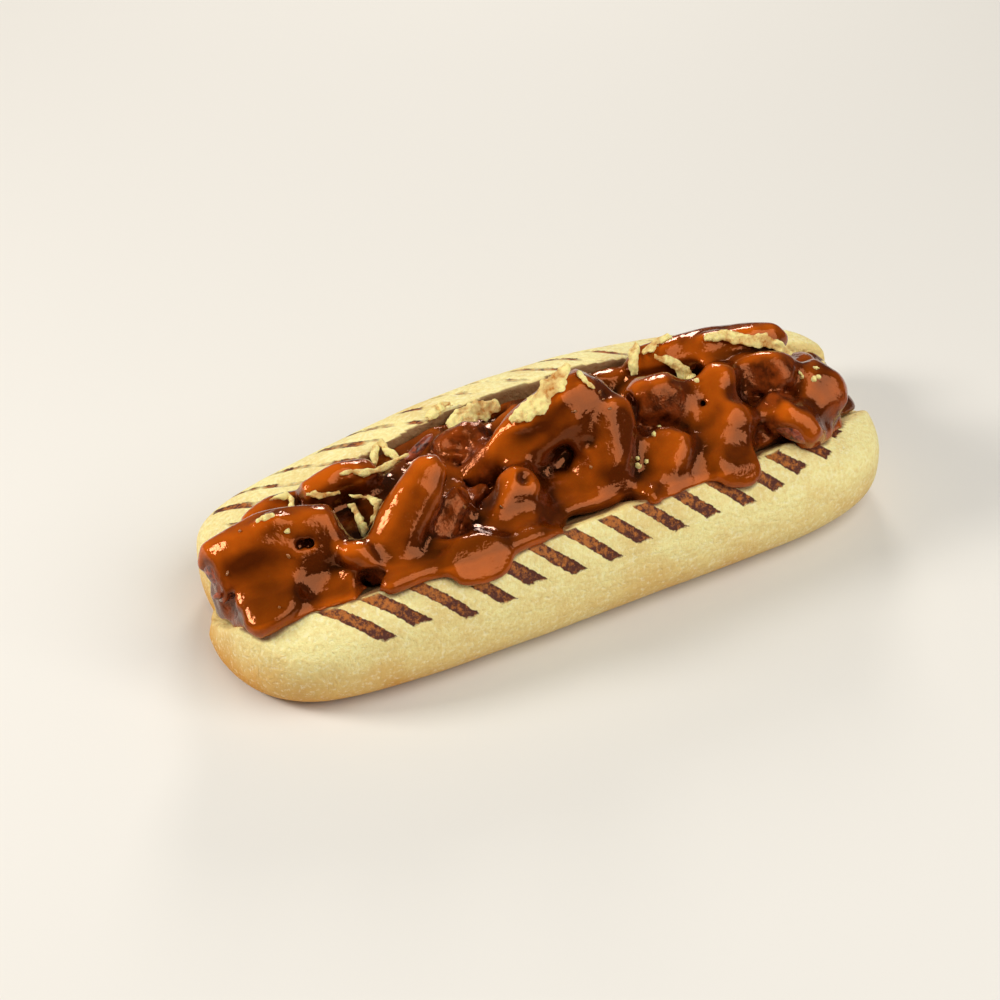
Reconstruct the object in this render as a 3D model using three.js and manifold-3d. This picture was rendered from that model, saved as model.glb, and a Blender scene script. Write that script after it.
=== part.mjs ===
// A chicken satay sandwich: a soft grilled roll, cut open along its top, filled with pieces of
// chicken in thick peanut sauce and topped with crisp fried onions.
//
// Millimetres. X runs along the roll, Y across it (minus Y is the front lip), Z is up, and the
// roll lies on Z = 0. The origin is under the middle of the whole sandwich.
import * as THREE from "three";
import { mergeVertices } from "three/addons/utils/BufferGeometryUtils.js";
import Module from "manifold-3d";

const wasm = await Module();
wasm.setup();

// Driving sizes of the roll. Its front half leans further out than its back half, so each has its
// own reach along X, half width, crown (the height that its crust would have over the cut) and
// squareness (a power: 1 is an ellipse and less is squarer).
const FRONT = { left: -108, right: 103, halfWidth: 52.5, crown: 47, power: 0.73 };
const BACK = { left: -101, right: 109, halfWidth: 34.5, crown: 42.5, power: 0.66 };
const WIDEST_AT = 14.7; // height of the roll's widest line
const UNDERSIDE_DEPTH = 21; // the underside's curve reaches below Z = 0 and is cut flat there
const END_BLUNTNESS = 5.3; // powers of the outline seen from above
const END_ROUNDNESS = 4.35;
const END_DROP = 14; // how much lower the crown is at the two ends
const END_DROP_FROM = 0.1; // the part of the half length that it starts at
const CROWN_POWER = 0.75; // how the top and the underside round off towards the ends
const UNDERSIDE_POWER = 0.6;
const HALVES_BLEND = 0.4; // the part of the half width over which the two halves' sizes blend

// The cut: its floor, which leaves the bread under it as a hinge, and its two sloping faces.
const CUT_FLOOR = 9;
const CUT_FLOOR_HALF_WIDTH = 4;
const FRONT_LEAN = 1.52; // how far the front face goes out for each millimetre that it rises
const BACK_LEAN = 0.26;

const CUT_HEIGHT = 60; // the cut's cutter stands this tall and reaches this far along X
const CUT_REACH = 130;

// The sauce: the front lip's height along X, which the sauce comes up to, and how far above that
// it is heaped at each Y.
const LIP_HEIGHT = 36.1;
const LIP_FALL = 9; // how much lower the lip is at LIP_REACH from the middle
const LIP_REACH = 98;
const LIP_FALL_POWER = 2.2; // the lip is nearly level in the middle and falls near the ends
const HEAP = [
  [-60, -0.6],
  [-40, 0.2],
  [-26, 2.2],
  [-8, 3.6],
  [30, 4.5],
];
const HEAP_RIPPLE = 1.1;
const HEAP_RIPPLE_SEED = 3;
const HEAP_RIPPLE_LENGTH = { x: 9, y: 14 };
const HEAP_STATIONS = 12;
const SAUCE_END_INSET = 1.5;
const SAUCE_FLOOR = 1; // the heap's solid starts at this height, under the cut's floor
const DRIP_INSET = 0.8; // trims the runs a little deeper inside the bed than the bed's own faces

// Where sauce runs over the front lip and lies on the crust as flat tongues. Each one's outline is
// that of a lump, placed like the chicken pieces and rounder than them.
const DRIP_THICKNESS = 3.4;
const DRIP_BLUNTNESS = 2.6;
const DRIP_SEED = 40;
const DRIPS = [
  { name: "left_bulge", at: [-97.5, -29.5, 28.5], size: [18, 13, 12], turn: [12, -12, 8] },
  { name: "small_left", at: [-60, -40.5, 33.5], size: [22, 8, 7], turn: [8, -3, 0] },
  { name: "middle_drip", at: [-42.5, -44, 34.6], size: [21, 16, 13], turn: [40, 0, 0] },
  { name: "middle_run", at: [-27, -44, 35.6], size: [16, 7, 7], turn: [10, 0, 0] },
  { name: "small_mid", at: [10, -45, 35.6], size: [9, 9, 8], turn: [40, 0, 0] },
  { name: "right_drip", at: [41.3, -42.5, 34.4], size: [17, 16, 13], turn: [40, 0, 0] },
  { name: "right_bulge", at: [70, -38.5, 32], size: [18, 8, 7], turn: [10, 3, 0] },
];

const CLEARANCE = 0.3; // the gap that touching pieces keep
const SOCKET_SCALE = 1.17; // the sauce's sockets have fewer facets, so they are larger too
const SMALL_LUMP = 16; // a lump shorter than this has fewer facets
const LUMP_SQUARENESS = 0.8; // a power, as for the roll's halves
const LUMP_ROUGHNESS = 0.1; // how much a lump's sides and ends vary, as a part of its size
const LUMP_END_ROUGHNESS = 0.05;
const LUMP_END_SEED = 7;

// The chicken pieces: centre, size (length, breadth, thickness) and turn in degrees about X, Y
// and Z. The first ones lie on top and keep their shape; the later ones give way to them.
const CHICKEN = [
  {
    name: "diagonal", at: [-8.5, -14, 46.4], size: [49, 17, 15], turn: [49, -24, 17],
    taper: -0.35, bend: -3,
  },
  { name: "hollow", at: [8.6, -26.4, 43.5], size: [30, 16, 15], turn: [49, -25, 65] },
  { name: "ball", at: [30.8, -16.6, 44.7], size: [19, 18, 18], turn: [49, -26, -9], blunt: 2.2 },
  { name: "crest", at: [57, -2.8, 45], size: [50, 14, 17], turn: [37, -23, -12], taper: 0.1 },
  { name: "slab_left", at: [-90.2, -14.2, 35.6], size: [41, 23, 17], turn: [57, -20, -2], taper: -0.15 },
  { name: "upright", at: [-55.4, -26.9, 42], size: [40, 16, 13], turn: [48, -21, 47], taper: 0.1 },
  { name: "cube", at: [-72.2, -29, 38.9], size: [9, 7, 10], turn: [48, -19, -9] },
  { name: "low_front", at: [-24.7, -30.3, 37.4], size: [23, 15, 15], turn: [48, -23, 41] },
  { name: "low_right", at: [43.8, -32.3, 38.4], size: [22, 17, 13], turn: [48, -27, 61] },
  { name: "low_mid", at: [23.8, -33.7, 37.8], size: [19, 16, 14], turn: [48, -26, 61] },
  { name: "mid_right", at: [49.2, -20.4, 44.2], size: [18, 12, 13], turn: [49, -28, 61] },
  { name: "crest_front", at: [64.8, -20.9, 45.9], size: [20, 13, 14], turn: [49, -29, -14] },
  { name: "corner", at: [65.2, -35.5, 38.2], size: [21, 13, 13], turn: [48, -29, -49] },
  { name: "end_right", at: [79.4, -28.6, 38.7], size: [19, 17, 17], turn: [48, -30, -69] },
  { name: "end_bit", at: [-106.2, -14.7, 28.8], size: [9, 7, 10], turn: [48, -17, 1] },
  { name: "shoulder", at: [-43.3, -27.9, 38], size: [23, 9, 13], turn: [48, -21, 51] },
  { name: "small_low", at: [-8.1, -27.2, 33.9], size: [11, 7, 10], turn: [48, -24, -9] },
  { name: "behind_mid", at: [-24, -1.8, 39.9], size: [18, 13, 14], turn: [40, -19, -2] },
  { name: "behind_left", at: [-63.2, -0.9, 40.5], size: [24, 10, 13], turn: [30, -12, -1] },
  { name: "back_left", at: [-80, 3.5, 31], size: [24, 13, 13], turn: [10, 4, 10] },
  { name: "back_mid", at: [2, -1, 37], size: [26, 14, 13], turn: [12, 0, -8] },
  { name: "back_right", at: [84, -8, 30.5], size: [20, 14, 13], turn: [0, 8, 20] },
  { name: "stick", at: [-40.5, -6.5, 47.7], size: [13, 3, 3.5], turn: [40, -18, 24] },
];

// The fried onions: points that each strip passes through, its width and thickness, the way its
// flat side faces and how far it twists in degrees from end to end.
const ONION_THICKNESS = 1.3;
const STRIP_STATIONS = 6;
const STRIP_SECTION = [[-1, 0.2], [-0.7, -1], [0.7, -1], [1, -0.2], [0.6, 1], [-0.6, 1]];
const STRIP_ENDS = 0.7; // a power: how quickly a strip reaches its full width
const STRIP_RAGGEDNESS = 0.25;
const STRIP_WAVES = 9;
const LOOP_REACH = 0.94; // a loop's two ends stop short of each other
const ONIONS = [
  {
    name: "curl",
    points: [[-82.5, 4, 38], [-79.5, 3.5, 38.5], [-76, 3, 38], [-79, -2.5, 38], [-82, -3, 35.5]],
    width: 1.9, facing: [-0.24, -0.56, 0.80], twist: 40, narrow: 0.5,
  },
  {
    name: "chip",
    points: [[-94, -14.5, 48], [-92, -15, 48.5], [-89.5, -14.5, 48.5]],
    width: 1.6, facing: [-0.29, -0.60, 0.74], narrow: 0.5,
  },
  {
    name: "strip_left",
    points: [[-77.5, 4.5, 40.5], [-75, 1, 41.5], [-72, -6, 42.5], [-65.5, -7, 42]],
    width: 2.8, facing: [-0.42, -0.69, 0.59], twist: 20, narrow: 0.5,
  },
  {
    name: "thread",
    points: [[-65, -5.5, 47], [-61, -6, 47], [-56.5, -7.5, 45.5], [-50, -6.5, 45.5], [-44.5, -8.5, 48.5]],
    width: 2.1, facing: [-0.30, -0.66, 0.68], twist: 30, narrow: 0.5,
  },
  {
    name: "ring",
    points: [[-48.5, 5.5, 37], [-46.5, 10, 38.5], [-43.5, 12.5, 39], [-43, 8.5, 38], [-42, 3, 38]],
    width: 2.6, facing: [-0.30, -0.62, 0.72], twist: 60, narrow: 0.6,
  },
  {
    name: "loop",
    points: [
      [-63, -8.5, 40.5], [-59.5, -10.5, 40.5], [-59, -18, 42],
      [-61.5, -19, 39], [-64, -19.5, 36], [-63, -12.5, 36.5],
    ],
    width: 2.5, facing: [-0.39, -0.47, 0.79], narrow: 0.8, loop: true,
  },
  {
    name: "flake_mid",
    points: [[-23.5, 7.5, 39.5], [-18, 8, 41], [-11.5, 9, 41], [-6.5, 8, 41]],
    width: 7.5, facing: [-0.33, -0.48, 0.81], twist: 20, narrow: 0.5,
  },
  {
    name: "flake_small",
    points: [[-28, 12, 41.5], [-23.5, 14.5, 42], [-19, 14, 42.5]],
    width: 4.0, facing: [-0.34, -0.45, 0.83], narrow: 0.5,
  },
  {
    name: "flake_long",
    points: [[-16, -15, 54], [-10.5, -17, 57], [-4, -16, 61.5], [4, -12.5, 65]],
    width: 6.7, facing: [-0.45, -0.54, 0.71], twist: -20, narrow: 0.3,
  },
  {
    name: "sliver",
    points: [[6.5, -11, 62], [6, -19, 62], [10.5, -21.5, 58]],
    width: 1.7, facing: [-0.23, -0.77, 0.59], narrow: 0.4,
  },
  {
    name: "crumble_low",
    points: [[38.5, 6.5, 48.5], [34.5, 2, 48], [34, 0, 43]],
    width: 3.5, facing: [-0.51, -0.58, 0.63], twist: 30, narrow: 0.5,
  },
  {
    name: "crumble_top",
    points: [[37, 1, 49], [42, 1, 51], [45.5, 0, 53]],
    width: 3.2, facing: [-0.47, -0.50, 0.73], twist: 30, narrow: 0.5,
  },
  {
    name: "arc",
    points: [[39, -2, 49], [43, -6.5, 48], [47.5, -9, 43], [45.5, -16.5, 43.5], [45.5, -19, 40.5]],
    width: 3.8, facing: [-0.56, -0.65, 0.51], twist: 30, narrow: 0.5,
  },
  {
    name: "flake_right",
    points: [[53.5, -7, 54], [58.5, -9, 54], [63.5, -13.5, 53.5], [69.5, -16, 52.5], [75.5, -19.5, 48]],
    width: 4.9, facing: [-0.41, -0.63, 0.66], twist: -20, narrow: 0.4,
  },
];

// A material for each food.
const BREAD = new THREE.MeshStandardMaterial({ color: 0xe2c987, roughness: 0.8 });
const SAUCE = new THREE.MeshStandardMaterial({ color: 0x8a4a1c, roughness: 0.25 });
const ONION = new THREE.MeshStandardMaterial({ color: 0xd9b26a, roughness: 0.7 });
const MEAT = new THREE.MeshStandardMaterial({ color: 0x9a4f24, roughness: 0.5 });

// Facets: the roll's stations along X and points round each, closer together near the tips, and
// those of a lump, of a small or hidden lump, of the sauce's ends and of its runs' faces.
const ROLL_FACETS = { stations: 26, around: 24 };
const LUMP_FACETS = { stations: 6, around: 10 };
const COARSE_FACETS = { stations: 5, around: 7 };
const SAUCE_END_FACETS = { stations: 12, around: 14 };
const DRIP_FACETS = { stations: 20, around: 18 };
const TIP = 0.9995; // a tip's last ring stops just short of a point
const TIP_POWER = 0.9;

// |t|^n with t's sign, which turns an ellipse into a squarer or a rounder one.
const signedPower = (t, n) => Math.sign(t) * Math.abs(t) ** n;
const mix = THREE.MathUtils.lerp;
const step = (t, from, to) => THREE.MathUtils.smoothstep(t, from, to);

// A closed solid's geometry from rings of points: each ring has the same count, and the two ends
// are closed with a fan round their middle.
function loft(rings) {
  const count = rings[0].length;
  const middle = (ring) =>
    ring.reduce((sum, p) => sum.add(p), new THREE.Vector3()).divideScalar(count);
  const points = [...rings.flat(), middle(rings[0]), middle(rings[rings.length - 1])];
  const first = points.length - 2;
  const last = points.length - 1;
  const faces = [];
  for (let i = 0; i < rings.length - 1; i++) {
    for (let j = 0; j < count; j++) {
      const a = i * count + j;
      const b = i * count + ((j + 1) % count);
      faces.push(a, b, a + count, b, b + count, a + count);
    }
  }
  const tail = (rings.length - 1) * count;
  for (let j = 0; j < count; j++) {
    const k = (j + 1) % count;
    faces.push(first, k, j, last, tail + j, tail + k);
  }
  const geometry = new THREE.BufferGeometry().setFromPoints(points);
  geometry.setIndex(faces);
  return geometry;
}

// A closed geometry as a solid that can be cut and joined.
function solidOf(geometry) {
  const bare = new THREE.BufferGeometry();
  bare.setAttribute("position", geometry.getAttribute("position"));
  if (geometry.index) bare.setIndex(geometry.index);
  const merged = mergeVertices(bare, 1e-4);
  return new wasm.Manifold(
    new wasm.Mesh({
      numProp: 3,
      vertProperties: new Float32Array(merged.attributes.position.array),
      triVerts: new Uint32Array(merged.index.array),
    }),
  );
}

function geometryOf(solid) {
  const mesh = solid.getMesh();
  const geometry = new THREE.BufferGeometry();
  geometry.setAttribute("position", new THREE.BufferAttribute(mesh.vertProperties, 3));
  geometry.setIndex(new THREE.BufferAttribute(mesh.triVerts, 1));
  geometry.computeVertexNormals();
  return geometry;
}

// The outer crust's ring of points at station t, which runs from -1 at the left tip to 1. The grown
// crust is the same one with its surface moved out by that much.
function crustRing(t, grow, around) {
  const full = (1 - Math.abs(t) ** END_BLUNTNESS) ** (1 / END_ROUNDNESS);
  const ring = [];
  for (let j = 0; j < around; j++) {
    const angle = (2 * Math.PI * j) / around;
    const back = step(Math.cos(angle), -HALVES_BLEND, HALVES_BLEND);
    const side = (name) => mix(FRONT[name], BACK[name], back);
    const x = mix(side("left") - grow, side("right") + grow, (1 + t) / 2);
    const reach = side("halfWidth") * full + grow;
    const y = reach * signedPower(Math.cos(angle), side("power"));
    const lift = signedPower(Math.sin(angle), side("power"));
    const crown = side("crown") - END_DROP * step(Math.abs(t), END_DROP_FROM, 1);
    const above = (crown - WIDEST_AT) * full ** CROWN_POWER + grow;
    const below = UNDERSIDE_DEPTH * full ** UNDERSIDE_POWER + grow;
    const z = WIDEST_AT + lift * (lift > 0 ? above : below);
    ring.push(new THREE.Vector3(x, y, Math.max(-grow, z)));
  }
  return ring;
}

function crust(grow, { stations, around } = ROLL_FACETS) {
  const rings = [];
  for (let i = 0; i <= stations; i++) {
    const angle = Math.PI * (i / stations - 0.5);
    rings.push(crustRing(TIP * signedPower(Math.sin(angle), TIP_POWER), grow, around));
  }
  return solidOf(loft(rings));
}

// Where the cut's front (side -1) or back (side 1) face stands at height z.
function cutFace(side, z) {
  const rise = Math.max(0, z - CUT_FLOOR);
  const lean = side < 0 ? FRONT_LEAN : BACK_LEAN;
  return side * (CUT_FLOOR_HALF_WIDTH + lean * rise);
}

function cut(shrink) {
  const top = CUT_FLOOR + CUT_HEIGHT;
  const outline = [];
  for (const [side, z] of [[-1, CUT_FLOOR], [1, CUT_FLOOR], [1, top], [-1, top]]) {
    const lean = side < 0 ? FRONT_LEAN : BACK_LEAN;
    const inset = shrink * Math.hypot(1, lean);
    outline.push([cutFace(side, z) - side * inset, z === CUT_FLOOR ? z + shrink : z]);
  }
  const ends = [-CUT_REACH, CUT_REACH];
  return solidOf(loft(ends.map((x) => outline.map(([y, z]) => new THREE.Vector3(x, y, z)))));
}

// The roll, or the roll grown by the clearance that its neighbours keep from it.
const breadRoll = (grow) => crust(grow).subtract(cut(grow));

// A repeatable wobble of about -1 to 1 for a point of a lump that has its own seed: three waves
// whose rates have no common period.
function wobble(seed, a, b) {
  const p = seed * 2.399;
  return (
    0.5 * Math.sin(2.3 * a + 1.7 * Math.cos(b + p) + p) +
    0.3 * Math.sin(4.1 * a - 2 * b + 2.1 * p) +
    0.2 * Math.cos(3 * b + 5.3 * a + 3.7 * p)
  );
}

const facetsFor = ({ size }) => (Math.max(...size) < SMALL_LUMP ? COARSE_FACETS : LUMP_FACETS);

// A lump of meat or sauce: length along X, breadth along Y and thickness along Z before it is
// turned and moved into place. Taper narrows its +X end, and bend bows it towards +Z.
function lump(spec, seed, grow, facets = facetsFor(spec)) {
  const { size, turn, at, taper = 0, bend = 0, blunt = 3 } = spec;
  const [length, breadth, thickness] = size.map((value) => value / 2 + grow);
  const { stations, around } = facets;
  const rings = [];
  for (let i = 0; i <= stations; i++) {
    const a = TIP * Math.sin(Math.PI * (i / stations - 0.5));
    const full = (1 - Math.abs(a) ** blunt) ** (1 / blunt);
    const ring = [];
    for (let j = 0; j < around; j++) {
      const b = (2 * Math.PI * j) / around;
      const swell = full * (1 - taper * a) * (1 + LUMP_ROUGHNESS * wobble(seed, 2 * a, b));
      const x = length * a * (1 + LUMP_END_ROUGHNESS * wobble(seed + LUMP_END_SEED, b, a));
      const y = breadth * swell * signedPower(Math.cos(b), LUMP_SQUARENESS);
      const z = thickness * swell * signedPower(Math.sin(b), LUMP_SQUARENESS);
      ring.push(new THREE.Vector3(x, y, z + bend * (a * a - 0.5)));
    }
    rings.push(ring);
  }
  const euler = new THREE.Euler(...turn.map(THREE.MathUtils.degToRad));
  const place = new THREE.Matrix4().makeRotationFromEuler(euler).setPosition(...at);
  return solidOf(loft(rings).applyMatrix4(place));
}

const largest = (solid) =>
  solid.decompose().reduce((best, piece) => (piece.volume() > best.volume() ? piece : best));

// The height that the sauce is heaped to.
function heapHeight(x, y) {
  const lip = LIP_HEIGHT - LIP_FALL * Math.abs(x / LIP_REACH) ** LIP_FALL_POWER;
  const i = HEAP.findIndex(([edge], k) => k > 0 && y <= edge);
  const [y0, above0] = HEAP[i - 1];
  const [y1, above1] = HEAP[i];
  const along = x / HEAP_RIPPLE_LENGTH.x;
  const ripple = HEAP_RIPPLE * wobble(HEAP_RIPPLE_SEED, along, y / HEAP_RIPPLE_LENGTH.y);
  return lip + mix(above0, above1, (y - y0) / (y1 - y0)) + ripple;
}

// The bed of sauce that fills the cut.
function sauceBed() {
  const rings = [];
  for (let i = 0; i <= HEAP_STATIONS; i++) {
    const x = mix(-CUT_REACH, CUT_REACH, i / HEAP_STATIONS);
    const top = HEAP.map(([y]) => new THREE.Vector3(x, y, heapHeight(x, y)));
    const edges = [HEAP[0][0], HEAP[HEAP.length - 1][0]];
    const base = edges.map((y) => new THREE.Vector3(x, y, SAUCE_FLOOR));
    rings.push([...base, ...top.reverse()]);
  }
  const inside = cut(CLEARANCE).intersect(crust(-SAUCE_END_INSET, SAUCE_END_FACETS));
  return solidOf(loft(rings)).intersect(inside);
}

// The runs of sauce over the front lip: no thicker than they lie on the crust.
function drips() {
  const outlines = DRIPS.map((spec) => ({ ...spec, blunt: DRIP_BLUNTNESS }));
  const runs = outlines.map((spec, i) => lump(spec, DRIP_SEED + i, 0, COARSE_FACETS));
  return runs.reduce((all, one) => all.add(one)).intersect(crust(DRIP_THICKNESS, DRIP_FACETS));
}

// A flat ragged strip along a curve, open or closed into a loop.
function strip(spec, seed, grow) {
  const { points, width, facing, twist = 0, narrow, loop = false } = spec;
  const path = new THREE.CatmullRomCurve3(points.map((p) => new THREE.Vector3(...p)), loop);
  const face = new THREE.Vector3(...facing).normalize();
  const rings = [];
  for (let i = 0; i <= STRIP_STATIONS; i++) {
    const s = ((loop ? LOOP_REACH : 1) * i) / STRIP_STATIONS;
    const centre = path.getPointAt(s);
    const along = path.getTangentAt(s);
    const side = new THREE.Vector3().crossVectors(face, along).normalize();
    side.applyAxisAngle(along, THREE.MathUtils.degToRad(twist) * (s - 0.5));
    const normal = new THREE.Vector3().crossVectors(along, side).normalize();
    const shape = narrow + (1 - narrow) * Math.sin(Math.PI * s) ** STRIP_ENDS;
    const ragged = 1 + STRIP_RAGGEDNESS * wobble(seed, STRIP_WAVES * s, 1);
    const half = 0.5 * width * shape * ragged + grow;
    const thick = 0.5 * ONION_THICKNESS + grow;
    const corner = ([across, out]) =>
      centre
        .clone()
        .addScaledVector(side, across * half)
        .addScaledVector(normal, out * thick);
    rings.push(STRIP_SECTION.map(corner));
  }
  return solidOf(loft(rings));
}

const sandwich = new THREE.Group();
sandwich.name = "chicken_satay_sandwich";

function add(name, solid, material) {
  const mesh = new THREE.Mesh(geometryOf(solid), material);
  mesh.name = name;
  sandwich.add(mesh);
}

add("bread_roll", breadRoll(0), BREAD);

// Each piece gives way to the roll and to the pieces before it in the list.
const rollClear = breadRoll(CLEARANCE);
const whole = CHICKEN.map((spec, i) => lump(spec, i, 0));
const clear = CHICKEN.map((spec, i) => lump(spec, i, CLEARANCE));
const pieces = whole.map((piece, i) =>
  clear.slice(0, i).reduce((rest, other) => rest.subtract(other), piece.subtract(rollClear)),
);
pieces.forEach((piece, i) => add(`chicken_${CHICKEN[i].name}`, largest(piece), MEAT));

// The onions lie on the pieces, and the sauce gives way to both.
ONIONS.forEach((spec, i) => {
  const onion = clear.reduce((rest, piece) => rest.subtract(piece), strip(spec, i, 0));
  add(`onion_${spec.name}`, largest(onion.subtract(rollClear)), ONION);
});

const dripTrim = crust(CLEARANCE).subtract(cut(DRIP_INSET));
const enlarged = (spec) => ({ ...spec, size: spec.size.map((value) => SOCKET_SCALE * value) });
const sockets = [
  ...CHICKEN.map((spec, i) => lump(enlarged(spec), i, CLEARANCE, COARSE_FACETS)),
  ...ONIONS.map((spec, i) => strip(spec, i, CLEARANCE)),
];
const sauce = sauceBed().add(drips().subtract(dripTrim));
add("satay_sauce", largest(sockets.reduce((rest, socket) => rest.subtract(socket), sauce)), SAUCE);

// The origin is under the middle of the whole, on the plane it rests on.
const box = new THREE.Box3().setFromObject(sandwich);
const middle = box.getCenter(new THREE.Vector3());
for (const mesh of sandwich.children) mesh.geometry.translate(-middle.x, -middle.y, -box.min.z);

export default sandwich;
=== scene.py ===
# %% [markdown]
# # A chicken satay sandwich
#
# The sandwich is a soft white roll, pressed on a hot grill so that its top carries dark stripes,
# then cut open along the top and filled with pieces of chicken thigh in thick peanut satay sauce.
# Crisp fried onions lie on it. Each of those foods has its own section here: how its surface comes
# about in a kitchen, how it could be made in Blender, and why this way was chosen.
#
# The construction model gives every piece at its true size and place. This script loads it as a
# fixed frame and dresses it.

# %% Load the frame
import math

import bpy
import numpy as np
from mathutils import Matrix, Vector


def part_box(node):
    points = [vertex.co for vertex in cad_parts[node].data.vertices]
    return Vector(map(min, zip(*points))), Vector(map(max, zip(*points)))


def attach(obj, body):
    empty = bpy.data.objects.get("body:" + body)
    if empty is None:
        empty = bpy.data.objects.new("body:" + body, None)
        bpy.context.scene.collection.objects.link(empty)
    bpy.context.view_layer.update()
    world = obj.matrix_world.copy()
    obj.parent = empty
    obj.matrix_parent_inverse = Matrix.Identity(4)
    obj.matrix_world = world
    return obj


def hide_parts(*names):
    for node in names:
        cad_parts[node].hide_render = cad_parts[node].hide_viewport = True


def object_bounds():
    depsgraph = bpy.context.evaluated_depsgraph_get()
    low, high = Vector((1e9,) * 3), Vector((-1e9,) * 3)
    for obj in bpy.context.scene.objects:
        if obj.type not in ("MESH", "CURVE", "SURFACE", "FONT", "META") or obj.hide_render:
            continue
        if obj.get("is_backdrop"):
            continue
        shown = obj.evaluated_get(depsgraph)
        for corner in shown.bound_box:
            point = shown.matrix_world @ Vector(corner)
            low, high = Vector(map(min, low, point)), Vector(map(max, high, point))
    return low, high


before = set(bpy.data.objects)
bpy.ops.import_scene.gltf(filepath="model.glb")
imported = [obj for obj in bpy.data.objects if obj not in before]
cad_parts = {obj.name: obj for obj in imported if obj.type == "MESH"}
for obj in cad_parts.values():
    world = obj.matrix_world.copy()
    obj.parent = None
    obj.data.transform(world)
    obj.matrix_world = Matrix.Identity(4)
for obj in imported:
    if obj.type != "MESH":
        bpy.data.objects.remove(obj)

import openvdb as vdb
from mathutils import Vector

cad_low, cad_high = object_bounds()
box_low, box_high = np.array(cad_low) * 1000, np.array(cad_high) * 1000
CHICKEN = sorted(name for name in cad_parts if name.startswith("chicken_"))
ONIONS = sorted(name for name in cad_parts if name.startswith("onion_"))
print("the sandwich is", np.round(box_high - box_low, 1), "mm")
print(len(CHICKEN), "pieces of chicken and", len(ONIONS), "fried onions")

# %% [markdown]
# ## Soft shapes from distances
#
# Bread, sauce and battered onion have no edges to model by hand. They could be sculpted, or made
# with a voxel remesh and smoothing, but then the sauce would not melt from one piece of chicken
# into the next. Here each shape is a block of numbers instead: for every little cube of space, how
# far it is from the shape's surface, negative inside. Such blocks can be melted together, cut,
# swollen and roughened with plain arithmetic, and one call turns the result into a mesh. All
# sizes are in millimetres until a mesh is made.

# %% A block of space, and how far it is from a mesh
MM = 0.001


class Block:
    """A box of space in cubes of one size."""

    def __init__(self, low, high, cell):
        self.low = np.array(low, float)
        self.cell = cell
        self.count = np.ceil((np.array(high) - self.low) / cell).astype(int) + 1

    def axes(self):
        """The places of the cubes along X, Y and Z, shaped so that sums of them fill the block."""
        x, y, z = (start + self.cell * np.arange(n) for start, n in zip(self.low, self.count))
        return x[:, None, None], y[None, :, None], z[None, None, :]


def distance(block, points, triangles, reach):
    """How far each cube is from a closed mesh, up to reach millimetres either way."""
    grid = vdb.FloatGrid.createLevelSetFromPolygons(
        ((points - block.low) / block.cell).astype(np.float32),
        triangles=triangles.astype(np.uint32),
        halfWidth=reach / block.cell,
    )
    values = np.empty(block.count, np.float32)
    grid.copyToArray(values)
    return values * block.cell


def node_mesh(name):
    """A CAD node's corners in millimetres, and its triangles."""
    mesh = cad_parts[name].data
    points = np.empty(len(mesh.vertices) * 3, np.float32)
    mesh.vertices.foreach_get("co", points)
    mesh.calc_loop_triangles()
    triangles = np.empty(len(mesh.loop_triangles) * 3, np.int32)
    mesh.loop_triangles.foreach_get("vertices", triangles)
    return points.reshape(-1, 3) / MM, triangles.reshape(-1, 3)


print("the construction's roll has", len(node_mesh("bread_roll")[0]), "corners")

# %% [markdown]
# Four things are done to such blocks. Melting joins two shapes as two drops of sauce join, with
# the crease filled. Blurring rounds corners off. Ripples are random hills and hollows, worked out
# from random numbers at widely spaced knots with a smooth curve between them, so their size is
# given in real millimetres. Filling creases is what a thick sauce does in a narrow gap.

# %% Melt, blur and roughen
def melt(a, b, reach):
    """Joins two shapes, with the crease between them filled over about reach millimetres."""
    near = np.maximum(reach - np.abs(a - b), 0) / reach
    return np.minimum(a, b) - near**3 * reach / 6


def overlap(a, b, reach):
    """What two shapes share, with its edge rounded over about reach millimetres."""
    return -melt(-a, -b, reach)


def blur(block, values, size):
    """Averages over about size millimetres each way, which rounds off corners."""
    reach = max(1, round(size / block.cell / 2))
    for axis in (0, 1, 2, 0, 1, 2):
        pad = [(reach + 1, reach) if i == axis else (0, 0) for i in range(3)]
        total = np.cumsum(np.pad(values, pad, mode="edge"), axis=axis, dtype=np.float64)
        upper = np.take(total, range(2 * reach + 1, total.shape[axis]), axis=axis)
        lower = np.take(total, range(0, total.shape[axis] - 2 * reach - 1), axis=axis)
        values = (upper - lower) / (2 * reach + 1)
    return values.astype(np.float32)


def ripples(block, size, seed):
    """Smooth random hills and hollows from about -1 to 1. The size is how far apart they are in
    millimetres, or three such sizes for X, Y and Z."""
    sizes = np.broadcast_to(size, 3)
    knots = [int(n * block.cell / step) + 5 for n, step in zip(block.count, sizes)]
    values = np.random.default_rng(seed).uniform(-1, 1, knots)
    for axis, n in enumerate(block.count):
        at = np.arange(n) * block.cell / sizes[axis]
        base = at.astype(int)
        t = at - base
        curve = [(1 - t) ** 3, 3 * t**3 - 6 * t**2 + 4, 1 + 3 * t + 3 * t**2 - 3 * t**3, t**3]
        weights = np.zeros((n, knots[axis]))
        for k, weight in enumerate(curve):
            weights[np.arange(n), base + k] = weight / 6
        values = np.moveaxis(np.tensordot(weights, values, (1, axis)), 0, axis)
    return (values / (2.2 * values.std())).astype(np.float32)


def fill_creases(block, values, radius):
    """Fills every crease and gap that a ball of this radius can't roll into: the shape is swollen
    by the radius, measured again, and shrunk by as much."""
    grid = vdb.FloatGrid(float(values.max()))
    grid.copyFromArray(np.ascontiguousarray(values, np.float32))
    points, quads = grid.convertToQuads(radius)
    halves = np.concatenate([quads[:, [0, 1, 2]], quads[:, [0, 2, 3]]])
    points = block.low + block.cell * points.astype(float)
    return distance(block, points, halves, radius + 4) + radius


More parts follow.
